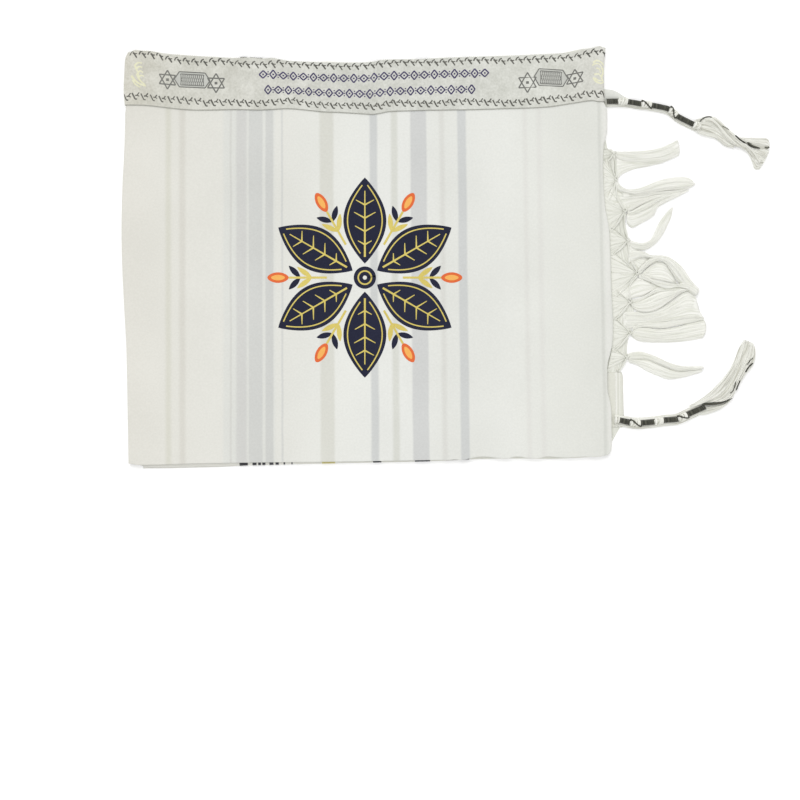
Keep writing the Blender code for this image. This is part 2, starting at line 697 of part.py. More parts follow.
def bundle_strand(line, widths, index):
    """One loose strand of a corner tassel, in the lower or the upper row."""
    upper = index >= BUNDLE_LOWER
    place_in_row = index - BUNDLE_LOWER if upper else index
    in_row = BUNDLE_UPPER if upper else BUNDLE_LOWER
    side = 2.0 * place_in_row / (in_row - 1) - 1.0
    if upper:
        side *= BUNDLE_UPPER_SHARE
    reach = 1.0 - BUNDLE_TRIM * TRIM_PATTERN[index % len(TRIM_PATTERN)]
    lift = BUNDLE_HIGH_LIFT if upper else BUNDLE_LOW_LIFT
    path = []
    halves = []
    for i in range(BUNDLE_STEPS + 1):
        share = i / BUNDLE_STEPS
        place = share * reach
        centre, across = centre_and_side(line, place)
        spread = max(width_at(widths, place) / 2 - BUNDLE_HALF, LEAST_SPREAD)
        flat = centre + across * side * spread
        height = lerp(SHANK_LIFT, lift, min(share * SETTLE_RATE, 1.0))
        path.append(Vector((flat.x, flat.y, height)))
        halves.append(lerp(BUNDLE_HALF, BUNDLE_TIP_HALF, share**TAPER_POWER))
    return tube(path, halves, STRAND_SIDES)


def corner_tassel(name, line, pieces, bundle, widths, look, owner):
    """A wound corner tassel with its loose strands fused at the last knot."""
    base = shank(name, line, pieces, look)
    count = BUNDLE_LOWER + BUNDLE_UPPER
    strands = [
        new_object(f"{name}_strand_{index}", *bundle_strand(bundle, widths, index), look)
        for index in range(count)
    ]
    unite(base, strands, owner)
    return base


def main():
    """Builds the pieces of the folded shawl."""
    for obj in list(bpy.data.objects):
        bpy.data.objects.remove(obj)
    scene = bpy.context.scene.collection
    shawl = bpy.data.collections.new("folded_prayer_shawl")
    helpers = bpy.data.collections.new("helpers")
    helpers.hide_render = True
    scene.children.link(shawl)
    scene.children.link(helpers)
    pieces = (
        front_panel(new_look("shawl_cloth", "front_panel")),
        under_layers(new_look("shawl_cloth", "under_layers"), helpers),
        neck_band(new_look("band_ribbon", "neck_band")),
        end_fringe(new_look("fringe_yarn", "end_fringe"), helpers),
        corner_tassel("corner_tassel_top", TOP_SHANK, TOP_PIECES, TOP_BUNDLE, TOP_BUNDLE_WIDTHS,
                      new_look("tassel_yarn", "corner_tassel_top"), helpers),
        corner_tassel("corner_tassel_bottom", BOTTOM_SHANK, BOTTOM_PIECES, BOTTOM_BUNDLE,
                      BOTTOM_BUNDLE_WIDTHS, new_look("tassel_yarn", "corner_tassel_bottom"),
                      helpers),
    )
    for piece in pieces:
        shawl.objects.link(piece)


main()
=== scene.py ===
"""Dresses a prayer shawl that is folded in three and lies flat: cloth, neck band, print, fringe, tassels."""

import logging
import math
import random
from collections.abc import Callable, Iterable, Sequence
from dataclasses import KW_ONLY, dataclass, field
from enum import Enum
from typing import ClassVar

import bpy
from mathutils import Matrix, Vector

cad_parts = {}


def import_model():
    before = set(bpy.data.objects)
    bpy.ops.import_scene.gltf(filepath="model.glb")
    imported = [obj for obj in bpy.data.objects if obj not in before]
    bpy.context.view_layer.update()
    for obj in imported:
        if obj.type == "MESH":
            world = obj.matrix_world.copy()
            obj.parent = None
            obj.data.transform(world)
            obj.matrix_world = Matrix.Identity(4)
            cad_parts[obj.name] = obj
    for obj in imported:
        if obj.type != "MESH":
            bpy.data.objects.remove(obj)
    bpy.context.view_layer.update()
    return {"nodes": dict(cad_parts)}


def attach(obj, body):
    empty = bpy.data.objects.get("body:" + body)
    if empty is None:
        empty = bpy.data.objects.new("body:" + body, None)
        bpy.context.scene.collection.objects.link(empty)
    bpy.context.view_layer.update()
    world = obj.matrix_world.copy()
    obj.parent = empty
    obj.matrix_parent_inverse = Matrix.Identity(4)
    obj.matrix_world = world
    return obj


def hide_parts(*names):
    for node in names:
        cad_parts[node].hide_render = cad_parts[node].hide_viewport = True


LOG = logging.getLogger("shawl")
MM = 0.001
BODY = "root"
UP = Vector((0.0, 0.0, 1.0))
FLOOR_GAP = 0.1
STROKE_CELL = 4.0
LIGHT_LEVEL = 1.08

Material = bpy.types.Material
Piece = bpy.types.Object
Socket = bpy.types.NodeSocket
Tree = bpy.types.NodeTree
Place = Callable[[float, float, float], Vector]
Row = list[tuple[Vector, Vector]]
Points = tuple[tuple[float, float], ...]
Shade = tuple[int, int, int]


class Slot(Enum):
    """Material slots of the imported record."""

    FRONT = "front_panel_shawl_cloth"
    UNDER = "under_layers_shawl_cloth"
    BAND = "neck_band_band_ribbon"
    FRINGE = "end_fringe_fringe_yarn"
    TOP_TASSEL = "corner_tassel_top_tassel_yarn"
    BOTTOM_TASSEL = "corner_tassel_bottom_tassel_yarn"


class Held(Enum):
    """How a sheet of cloth is held."""

    FOLDED = "folded"


class SectionKind(Enum):
    """The two kinds of stretch along a corner tassel's shank."""

    WOUND = "wound"
    KNOT = "knot"


def lerp(start: float, end: float, share: float) -> float:
    """Gives the value a share of the way between two values."""
    return start + (end - start) * share


def smoothstep(low: float, high: float, value: float) -> float:
    """Rises softly from 0 at low to 1 at high.

    Args:
        low: Where the rise starts.
        high: Where the rise ends.
        value: The position to read.

    Returns:
        A number from 0 to 1.
    """
    share = min(max((value - low) / (high - low), 0.0), 1.0)
    return share * share * (3.0 - 2.0 * share)


def linear_colour(shade: Shade) -> tuple[float, ...]:
    """Turns a colour as the picture shows it into the linear one that shaders take.

    Args:
        shade: Screen red, green and blue, 0 to 255.

    Returns:
        Linear red, green and blue, less the studio's light level, and an alpha of 1.
    """
    shares = [value / 255 for value in shade]
    linear = [part / 12.92 if part <= 0.04045 else ((part + 0.055) / 1.055) ** 2.4 for part in shares]
    return *(value / LIGHT_LEVEL for value in linear), 1.0


@dataclass(frozen=True)
class EdgeTable:
    """A line through a few measured points, read smoothly between them."""

    rows: Points

    def at(self, position: float) -> float:
        """Reads the line, held level beyond its ends.

        Args:
            position: Where along the line, in mm.

        Returns:
            The line's value there, in mm.
        """
        rows = self.rows
        if position <= rows[0][0]:
            return rows[0][1]
        if position >= rows[-1][0]:
            return rows[-1][1]
        index = next(i for i in range(len(rows) - 1) if position <= rows[i + 1][0])
        (start, low), (end, high) = rows[index], rows[index + 1]
        span = end - start
        leaving = arriving = (high - low) / span
        if index > 0:
            leaving = (high - rows[index - 1][1]) / (end - rows[index - 1][0])
        if index < len(rows) - 2:
            arriving = (rows[index + 2][1] - low) / (rows[index + 2][0] - start)
        t = (position - start) / span
        return (
            (2 * t**3 - 3 * t**2 + 1) * low
            + (t**3 - 2 * t**2 + t) * span * leaving
            + (3 * t**2 - 2 * t**3) * high
            + (t**3 - t**2) * span * arriving
        )


@dataclass(frozen=True)
class SmoothLine:
    """A smooth level line through given points, in mm."""

    points: Points

    def at(self, share: float) -> Vector:
        """Gives the point a share of the way along, by point count.

        Args:
            share: 0 at the first point and 1 at the last.

        Returns:
            The point, as a 2-D vector in mm.
        """
        count = len(self.points) - 1
        place = min(max(share, 0.0), 1.0) * count
        start = min(int(place), count - 1)
        part = place - start
        before = Vector(self.points[max(start - 1, 0)])
        here = Vector(self.points[start])
        there = Vector(self.points[start + 1])
        after = Vector(self.points[min(start + 2, count)])
        return 0.5 * (
            2 * here
            + (there - before) * part
            + (2 * before - 5 * here + 4 * there - after) * part**2
            + (3 * here - before - 3 * there + after) * part**3
        )

    def evened(self, count: int) -> "SmoothLine":
        """Gives the same line through points that are evenly spaced along it.

        Args:
            count: Number of stretches between the new points.

        Returns:
            The evened line.
        """
        fine = [self.at(i / 400) for i in range(401)]
        reach = [0.0]
        for before, after in zip(fine, fine[1:]):
            reach.append(reach[-1] + (after - before).length)
        points = []
        for i in range(count + 1):
            wanted = reach[-1] * i / count
            index = min(range(401), key=lambda k: abs(reach[k] - wanted))
            points.append(tuple(fine[index]))
        return SmoothLine(tuple(points))

    def side(self, share: float) -> Vector:
        """Gives the level direction square to the line, to its left."""
        ahead = self.at(share + 0.02) - self.at(share - 0.02)
        return Vector((-ahead.y, ahead.x)).normalized()


def raised(point: Vector, least: float) -> Vector:
    """Gives the point, lifted to a least height where it is lower."""
    return Vector((point.x, point.y, max(point.z, least)))


@dataclass
class MeshDraft:
    """Gathers the points, faces and texture positions of one piece, in mm."""

    verts: list[tuple[float, float, float]] = field(default_factory=list)
    faces: list[tuple[int, ...]] = field(default_factory=list)
    corners: list[tuple[float, float]] = field(default_factory=list)

    def add_face(self, face: tuple[int, ...], corners: Sequence[tuple[float, float]]) -> None:
        """Adds a face with a texture position for each corner."""
        self.faces.append(face)
        self.corners.extend(corners)

    def add_tube(
        self,
        path: Sequence[Vector],
        radii: Sequence[float],
        sides: int,
        tag: int = 0,
        closed: bool = False,
    ) -> None:
        """Adds a round yarn along points.

        Args:
            path: The yarn's middle points.
            radii: The yarn's radius at each point.
            sides: Number of sides.
            tag: A whole number that the finish reads as the yarn's own, for its tint.
            closed: Whether the yarn's end joins its start.
        """
        base = len(self.verts)
        count = len(path)
        over = UP
        reach = 0.0
        along: list[float] = []
        for i, point in enumerate(path):
            before = path[i - 1] if i or closed else path[0]
            after = path[(i + 1) % count] if i < count - 1 or closed else path[-1]
            ahead = (after - before).normalized()
            side = ahead.cross(over)
            if side.length < 1e-6:
                side = ahead.orthogonal()
            side.normalize()
            over = side.cross(ahead).normalized()
            if i:
                reach += (point - path[i - 1]).length
            along.append(reach)
            for k in range(sides):
                turn = math.tau * k / sides
                out = side * math.cos(turn) + over * math.sin(turn)
                self.verts.append(tuple(point + out * radii[i]))
        rings = count if closed else count - 1
        for i in range(rings):
            here = base + i * sides
            there = base + ((i + 1) % count) * sides
            start = along[i] * MM
            end = (along[i + 1] if i + 1 < count else reach + radii[0]) * MM
            for k in range(sides):
                following = (k + 1) % sides
                low = tag + k / sides
                high = tag + (k + 1) / sides
                self.add_face(
                    (here + k, there + k, there + following, here + following),
                    ((start, low), (end, low), (end, high), (start, high)),
                )
        if not closed:
            first = tuple(range(base, base + sides))
            last = tuple(range(base + (count - 1) * sides, base + count * sides))
            self.add_face(first, ((0.0, tag + 0.5),) * sides)
            self.add_face(last[::-1], ((reach * MM, tag + 0.5),) * sides)

    def add_shell(self, rows: Sequence[Row], inner: float, outer: float) -> None:
        """Adds a closed wall between two offsets of rows of points.

        Args:
            rows: Rows of points with their outward directions.
            inner: Offset of the hidden face.
            outer: Offset of the face that shows.
        """
        base = len(self.verts)
        count = len(rows[0])
        for offset in (inner, outer):
            for row in rows:
                self.verts.extend(tuple(point + out * offset) for point, out in row)
        layer = len(rows) * count
        blank = ((0.0, 0.0),) * 4

        def wall(a: int, b: int) -> None:
            """Joins one edge of the two faces."""
            quad = (base + a, base + b, base + layer + b, base + layer + a)
            self.add_face(quad, blank)

        for j in range(len(rows) - 1):
            for i in range(count - 1):
                a = base + j * count + i
                quad = (a, a + count, a + 1 + count, a + 1)
                self.add_face(quad, blank)
                self.add_face(tuple(layer + corner for corner in reversed(quad)), blank)
        for i in range(count - 1):
            wall(i, i + 1)
            top = (len(rows) - 1) * count + i
            wall(top + 1, top)
        for j in range(len(rows) - 1):
            left = j * count
            wall(left + count, left)
            wall(left + count - 1, left + 2 * count - 1)

    def add_stroke(
        self,
        line: Sequence[Vector],
        halves: Sequence[float],
        place: Place,
        rise: float,
        crown: float = 0.0,
    ) -> None:
        """Adds a flat or slightly crowned mark that follows the cloth under it.

        Args:
            line: Middle points of the mark, in the cloth's own 2-D mm.
            halves: Half width at each point.
            place: Gives the 3-D point over a 2-D one at a height above the cloth.
            rise: Height of the mark above the cloth.
            crown: Extra height along its middle.
        """
        base = len(self.verts)
        across = max(2, math.ceil(2 * max(halves) / STROKE_CELL))
        for i, point in enumerate(line):
            before = line[max(i - 1, 0)]
            after = line[min(i + 1, len(line) - 1)]
            ahead = after - before
            side = Vector((-ahead.y, ahead.x))
            side = side.normalized() if side.length > 1e-9 else Vector((0.0, 1.0))
            for k in range(across + 1):
                offset = 2.0 * k / across - 1.0
                spot = point + side * halves[i] * offset
                height = rise + crown * (1.0 - offset * offset)
                self.verts.append(tuple(place(spot.x, spot.y, height)))
        width = across + 1
        for i in range(len(line) - 1):
            for k in range(across):
                a = base + i * width + k
                self.add_face((a, a + width, a + width + 1, a + 1), ((0.0, 0.0),) * 4)

    def to_piece(self, name: str, finish: Material, slot: Slot) -> Piece:
        """Makes the piece and rides it on its body.

        Args:
            name: The piece's name.
            finish: Its material.
            slot: Not used.

        Returns:
            The new object.
        """
        mesh = bpy.data.meshes.new(name)
        mesh.from_pydata([tuple(value * MM for value in point) for point in self.verts], [], self.faces)
        texture = mesh.uv_layers.new(name="yarn")
        texture.data.foreach_set("uv", [value for corner in self.corners for value in corner])
        mesh.polygons.foreach_set("use_smooth", [True] * len(mesh.polygons))
        mesh.materials.append(finish)
        mesh.update()
        piece = bpy.data.objects.new(name, mesh)
        bpy.context.scene.collection.objects.link(piece)
        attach(piece, BODY)
        LOG.info("%s: %d points, %d faces", name, len(self.verts), len(self.faces))
        return piece


@dataclass(frozen=True)
class Lock:
    """A soft lock of combed threads between two edges, in mm."""

    upper: Points
    lower: Points
    base: float = 0.3
    thick: float = 3.0
    root: float = 0.6
    tip: float = 0.55
    lift: float = 1.2
    spacing: float = 3.2
    depth: float = 0.35
    threads: int = 9
    fray: float = 1.6
    bow: float = 0.03
    hollow: float = 0.0

    def reach(self, share: float, across: float) -> float:
        """Gives how far along a point lies, with the end's own rounded or hollow outline."""
        return share - share**4 * (self.bow * across**2 + self.hollow * (1.0 - across**2))


@dataclass
class ThreadDraft(MeshDraft):
    """A mesh of locks of thread and of the single threads that lie on them."""

    tag: int = 0
    fullness: float = 2.4
    thread: float = 0.32

    def next_own(self) -> float:
        """Gives each lock and thread a place of its own across the texture, which its tint follows."""
        self.tag += 1
        return 0.1 * self.tag + 0.05

    def height(self, lock: Lock, share: float, across: float, phases: tuple[float, float, float]) -> float:
        """Gives the height of a lock's upper face.

        Args:
            lock: The lock.
            share: How far along it.
            across: From -1 at its lower edge to 1 at its upper one.
            phases: Where its grooves start, how they drift and how many there are.

        Returns:
            The height above the floor in mm.
        """
        start, drift, folds = phases
        dome = max(1.0 - abs(across) ** self.fullness, 0.0) ** 0.6
        grown = lerp(lock.root, 1.0, smoothstep(0.0, 0.22, share))
        grown *= lerp(1.0, lock.tip, smoothstep(0.7, 1.0, share))
        place = (across + 1.0) / 2.0
        fine = 0.5 - 0.5 * math.cos(math.tau * folds * place + start + drift * share)
        broad = 0.5 - 0.5 * math.cos(math.tau * folds * 0.37 * place - start + 1.7 * drift * share)
        groove = lock.depth * dome * (fine + 0.9 * broad)
        base = lerp(lock.lift, lock.base, smoothstep(0.0, 0.3, share))
        return base + lock.thick * grown * dome - groove * min(grown, 1.0)

    @staticmethod
    def on_lock(lock: Lock, upper: SmoothLine, lower: SmoothLine, share: float, across: float) -> Vector:
        """Gives the level place of a point of a lock, in mm."""
        reach = lock.reach(share, across)
        high, low = upper.at(reach), lower.at(reach)
        return (high + low) / 2 + (high - low) / 2 * across

    def add_lock(self, lock: Lock, draw: random.Random, steps: int = 30) -> None:
        """Adds a lock and the threads on its face.

        Args:
            lock: The lock.
            draw: Source of the small differences between locks.
            steps: Number of cells along it.
        """
        upper, lower = SmoothLine(lock.upper), SmoothLine(lock.lower)
        samples = [(upper.at(i / 8) - lower.at(i / 8)).length for i in range(9)]
        width = sum(samples) / len(samples)
        folds = max(2, round(width / lock.spacing))
        columns = max(10, 4 * folds)
        phases = (draw.uniform(0.0, math.tau), draw.uniform(-1.6, 1.6), float(folds))
        own = self.next_own()
        base = len(self.verts)
        ring = 2 * columns
        spread = [-math.cos(math.pi * k / columns) for k in range(columns + 1)]
        reach, along = 0.0, []
        before = None
        for i in range(steps + 1):
            share = i / steps
            middle = (upper.at(share) + lower.at(share)) / 2
            if before is not None:
                reach += (middle - before).length
            before = middle
            along.append(reach * MM)
            under = lerp(lock.lift, lock.base, smoothstep(0.0, 0.3, share))
            for k in range(columns + 1):
                spot = self.on_lock(lock, upper, lower, share, spread[k])
                self.verts.append((spot.x, spot.y, self.height(lock, share, spread[k], phases)))
            for k in range(columns - 1, 0, -1):
                spot = self.on_lock(lock, upper, lower, share, spread[k])
                self.verts.append((spot.x, spot.y, under))
        sides = [own + value * width / 2 * MM for value in spread]
        sides += [own + spread[k] * width / 2 * MM for k in range(columns - 1, -1, -1)]
        for i in range(steps):
            here, there = base + i * ring, base + (i + 1) * ring
            for k in range(ring):
                following = (k + 1) % ring
                self.add_face(
                    (here + k, here + following, there + following, there + k),
                    ((along[i], sides[k]), (along[i], sides[k + 1]),
                     (along[i + 1], sides[k + 1]), (along[i + 1], sides[k])),
                )
        first = tuple(range(base, base + ring))
        last = tuple(range(base + steps * ring, base + (steps + 1) * ring))
        self.add_face(first[::-1], ((0.0, own),) * ring)
        self.add_face(last, ((along[-1], own),) * ring)
        self.add_face_threads(lock, upper, lower, phases, draw)

    def add_face_threads(
        self, lock: Lock, upper: SmoothLine, lower: SmoothLine,
        phases: tuple[float, float, float], draw: random.Random,
    ) -> None:
        """Adds single threads along a lock's face, some past its end.

        Args:
            lock: The lock.
            upper: Its upper edge.
            lower: Its lower edge.
            phases: Its grooves, as height() takes them.
            draw: Source of the small differences between threads.
        """
        for index in range(lock.threads):
            across = 2.0 * (index + draw.uniform(0.1, 0.9)) / lock.threads - 1.0
            across *= 0.93
            start, end = draw.uniform(0.0, 0.1), draw.uniform(0.9, 1.0)
            sway, turn = draw.uniform(-0.12, 0.12), draw.uniform(0.0, math.tau)
            path = []
            for i in range(19):
                share = lerp(start, end, i / 18)
                off = min(max(across + sway * math.sin(turn + 4.0 * share), -0.96), 0.96)
                spot = self.on_lock(lock, upper, lower, share, off)
                path.append(Vector((spot.x, spot.y, self.height(lock, share, off, phases) + 0.08)))
            ahead = (path[-1] - path[-2]).normalized()
            ahead.z = -0.15
            path.append(path[-1] + ahead * draw.uniform(0.3, 1.0) * lock.fray)
            size = self.thread * draw.uniform(0.8, 1.2)
            radii = [size * min(0.5 + i / 3, 1.0) for i in range(19)] + [size * 0.6]
            self.add_thread([raised(point, size + FLOOR_GAP) for point in path], radii, 4)

    def add_thread(
        self, path: Sequence[Vector], radii: Sequence[float], sides: int,
        closed: bool = False, spread: float = 1.0,
    ) -> None:
        """Adds a thread whose texture place runs across in metres, as a lock's does.

        Args:
            path: The thread's middle points.
            radii: Its radius at each point.
            sides: Number of sides.
            closed: Whether its end joins its start.
            spread: How far round the thread the texture runs, in mm.
        """
        start, own = len(self.corners), self.next_own()
        self.add_tube(path, radii, sides, closed=closed)
        self.corners[start:] = [(u, own + (v % 1.0) * spread * MM) for u, v in self.corners[start:]]

    def top_near(self, x: float, y: float, reach: float = 1.6) -> float:
        """Gives the highest point built so far around a place, or 1 mm where there is none."""
        found = [z for px, py, z in self.verts if abs(px - x) < reach and abs(py - y) < reach]
        return max(found, default=1.0)


@dataclass
class NodeBoard:
    """Short ways to add and join nodes in one node tree."""

    tree: Tree

    def add(self, kind: str, settings: dict[str, object] | None = None, **inputs: object) -> bpy.types.Node:
        """Adds a shader node.

        Args:
            kind: The node's type, without the prefix that all of them have.
            settings: Its properties.
            inputs: Sources or values of its inputs by name, underscores read as spaces.

        Returns:
            The node.
        """
        node = self.tree.nodes.new(f"ShaderNode{kind}")
        for name, value in (settings or {}).items():
            setattr(node, name, value)
        for name, source in inputs.items():
            self.feed(node.inputs[name.replace("_", " ")], source)
        return node

    def feed(self, target: Socket, source: object) -> None:
        """Links a socket, or sets its value where the source is a value."""
        if isinstance(source, Socket):
            self.tree.links.new(source, target)
        else:
            target.default_value = source

    def maths(self, operation: str, *sources: object) -> Socket:
        """Adds a Math node and gives its result."""
        node = self.add("Math", {"operation": operation})
        for socket, source in zip(node.inputs, sources):
            self.feed(socket, source)
        return node.outputs[0]

    def mix(self, share: object, first: object, second: object) -> Socket:
        """Adds a colour Mix node and gives its result."""
        node = self.add("Mix", {"data_type": "RGBA"})
        for index, source in ((0, share), (6, first), (7, second)):
            self.feed(node.inputs[index], source)
        return node.outputs[2]

    def noise(self, place: Socket, scale: object, detail: float = 2.0, dimensions: str = "3D") -> Socket:
        """Adds a noise texture and gives its value."""
        kind = {"noise_dimensions": dimensions}
        return self.add("TexNoise", kind, Vector=place, Scale=scale, Detail=detail).outputs["Fac"]

    def own(self, number: Socket) -> Socket:
        """Gives a random value that belongs to the whole part of a number."""
        whole = self.maths("FLOOR", number)
        return self.add("TexWhiteNoise", {"noise_dimensions": "1D"}, W=whole).outputs["Value"]

    def parts(self, place: Socket) -> Sequence[Socket]:
        """Splits a place into its x, y and z."""
        return self.add("SeparateXYZ", Vector=place).outputs

    def on_object(self) -> Socket:
        """Gives the place on the object, in metres."""
        return self.add("TexCoord").outputs["Object"]

    def on_yarn(self) -> Sequence[Socket]:
        """Gives the place along and round a yarn."""
        return self.parts(self.add("UVMap", {"uv_map": "yarn"}).outputs["UV"])

    def falling(self, value: Socket, low: object, high: object) -> Socket:
        """Gives a soft fall from 1 at the low value to 0 at the high one."""
        soft = {"interpolation_type": "SMOOTHSTEP"}
        node = self.add("MapRange", soft, Value=value, From_Min=low, From_Max=high, To_Min=1.0, To_Max=0.0)
        return node.outputs[0]

    def group(self, tree: Tree, **inputs: object) -> Sequence[Socket]:
        """Adds a shared group and gives its outputs."""
        return self.add("Group", {"node_tree": tree}, **inputs).outputs


def new_group(
    name: str, inputs: Iterable[tuple[str, float]], outputs: Iterable[str]
) -> tuple[NodeBoard, Sequence[Socket], Sequence[Socket]]:
    """Starts a shared shader group.

    Args:
        name: The group's name.
        inputs: Names and values of its number inputs.
        outputs: Names of its number outputs.

    Returns:
        The board, the sockets that give the inputs and those that take the results.
    """
    tree = bpy.data.node_groups.new(name, "ShaderNodeTree")
    for title, value in inputs:
        socket = tree.interface.new_socket(title, in_out="INPUT", socket_type="NodeSocketFloat")
        socket.default_value = value
    for title in outputs:
        tree.interface.new_socket(title, in_out="OUTPUT", socket_type="NodeSocketFloat")
    given, result = tree.nodes.new("NodeGroupInput"), tree.nodes.new("NodeGroupOutput")
    return NodeBoard(tree), given.outputs, result.inputs


class SharedEffects:
    """The shader groups that several finishes use, each made once."""

    def __init__(self) -> None:
        """Makes the weave, stripe, yarn and combed thread groups."""
        self.weave = self.make_weave()
        self.stripe = self.make_stripe()
        self.yarn = self.make_yarn()
        self.combed = self.make_combed()

    @staticmethod
    def make_weave() -> Tree:
        """Makes a plain weave: thread height and a faint uneven tint, which on the neck band also paints
        sheen blotches.

        Returns:
            The group, with the thread pitch in mm and the scale of its broad clouds as inputs.
        """
        sizes = (("Pitch", 0.9), ("Cloud", 9.0))
        board, given, result = new_group("plain weave", sizes, ("Height", "Mottle and Sheen"))
        place = board.on_object()
        turn = board.maths("DIVIDE", math.tau / 2 / MM, given["Pitch"])
        waves = [board.maths("SINE", board.maths("MULTIPLY", part, turn)) for part in board.parts(place)[:2]]
        board.feed(result["Height"], board.maths("MULTIPLY", *waves))
        both = board.maths("ADD", board.noise(place, 420.0, 3.0), board.noise(place, given["Cloud"]))
        spread = board.add("MapRange", Value=board.maths("MULTIPLY", both, 0.5), From_Min=0.36, From_Max=0.64)
        board.feed(result["Mottle and Sheen"], spread.outputs[0])
        return board.tree

    @staticmethod
    def make_stripe() -> Tree:
        """Makes one soft-edged stripe across a coordinate.

        Returns:
            The group, with the coordinate, centre, half width, softness and strength as inputs.
        """
        sizes = (("Coordinate", 0.0), ("Centre", 0.0), ("Half", 1.0), ("Soft", 1.0), ("Strength", 1.0))
        board, given, result = new_group("soft stripe", sizes, ("Mask",))
        gap = board.maths("ABSOLUTE", board.maths("SUBTRACT", given["Coordinate"], given["Centre"]))
        near, far = (board.maths(sign, given["Half"], given["Soft"]) for sign in ("SUBTRACT", "ADD"))
        strength = board.maths("MULTIPLY", board.falling(gap, near, far), given["Strength"])
        board.feed(result["Mask"], strength)
        return board.tree

    @staticmethod
    def make_yarn() -> Tree:
        """Makes a plied yarn: slanting ply height and a tint of each yarn's own.

        Returns:
            The group, with the length of one ply turn in mm as its input.
        """
        board, given, result = new_group("plied yarn", (("Ply", 3.0),), ("Height", "Tint"))
        along, around = board.on_yarn()[:2]
        turns = board.maths("DIVIDE", along, board.maths("MULTIPLY", given["Ply"], MM))
        both = board.maths("ADD", turns, board.maths("MULTIPLY", around, 2.0))
        slant = board.maths("MULTIPLY", both, math.tau)
        board.feed(result["Height"], board.maths("SINE", slant))
        board.feed(result["Tint"], board.own(around))
        return board.tree

    @staticmethod
    def make_combed() -> Tree:
        """Makes fine threads combed side by side, a mask of painted shade for the grooves between them, and a
        tint of each lock's own.

        Returns:
            The group, with the width of one thread in mm as its input.
        """
        board, given, result = new_group("combed threads", (("Width", 0.6),), ("Height", "Line", "Tint"))
        u, v = board.on_yarn()[:2]
        across = board.maths("DIVIDE", v, board.maths("MULTIPLY", given["Width"], MM))
        along = board.maths("MULTIPLY", u, 28.0)
        lines = []
        for share, weight in ((1.0, 0.6), (0.34, 0.8)):
            spot = board.add("CombineXYZ", X=along, Y=board.maths("MULTIPLY", across, share)).outputs[0]
            lines.append(board.maths("MULTIPLY", board.noise(spot, 1.0, 1.0, "2D"), weight))
        height = board.maths("ADD", *lines)
        board.feed(result["Height"], height)
        # Painted shade: the mask is 1 where the thread height is low, in the grooves between threads.
        board.feed(result["Line"], board.falling(height, 0.48, 0.74))
        board.feed(result["Tint"], board.own(board.maths("MULTIPLY", v, 10.0)))
        return board.tree


@dataclass(frozen=True)
class Finish:
    """What every finish of the shawl has. Relief in mm."""

    name: str
    _: KW_ONLY
    roughness: float = 0.7
    metallic: float = 0.0
    sheen: float = 0.0
    gloss: float = 0.25
    bump: float = 0.12
    relief: float = 0.2

    def paint(self, board: NodeBoard, effects: SharedEffects) -> tuple[Socket, Socket]:
        """Gives the finish's own colour and surface height."""
        raise NotImplementedError

    def make(self, effects: SharedEffects) -> Material:
        """Makes the material.

        Args:
            effects: The shared shader groups.

        Returns:
            The finished material.
        """
        look = bpy.data.materials.new(self.name)
        look.use_nodes = True
        board = NodeBoard(look.node_tree)
        shader = look.node_tree.nodes["Principled BSDF"]
        colour, height = self.paint(board, effects)
        bump = board.add("Bump", Strength=self.bump, Distance=self.relief * MM, Height=height)
        for title, source in (
            ("Base Color", colour), ("Roughness", self.roughness), ("Metallic", self.metallic),
            ("Sheen Weight", self.sheen), ("Specular IOR Level", self.gloss), ("Normal", bump.outputs[0]),
        ):
            board.feed(shader.inputs[title], source)
        return look


@dataclass(frozen=True)
class Stripe:
    """A woven or showing-through stripe; one stripe is a band of painted highlight. Edges in mm across the
    packet.
    """

    start: float
    end: float
    colour: Shade
    soft: float = 1.2
    strength: float = 1.0


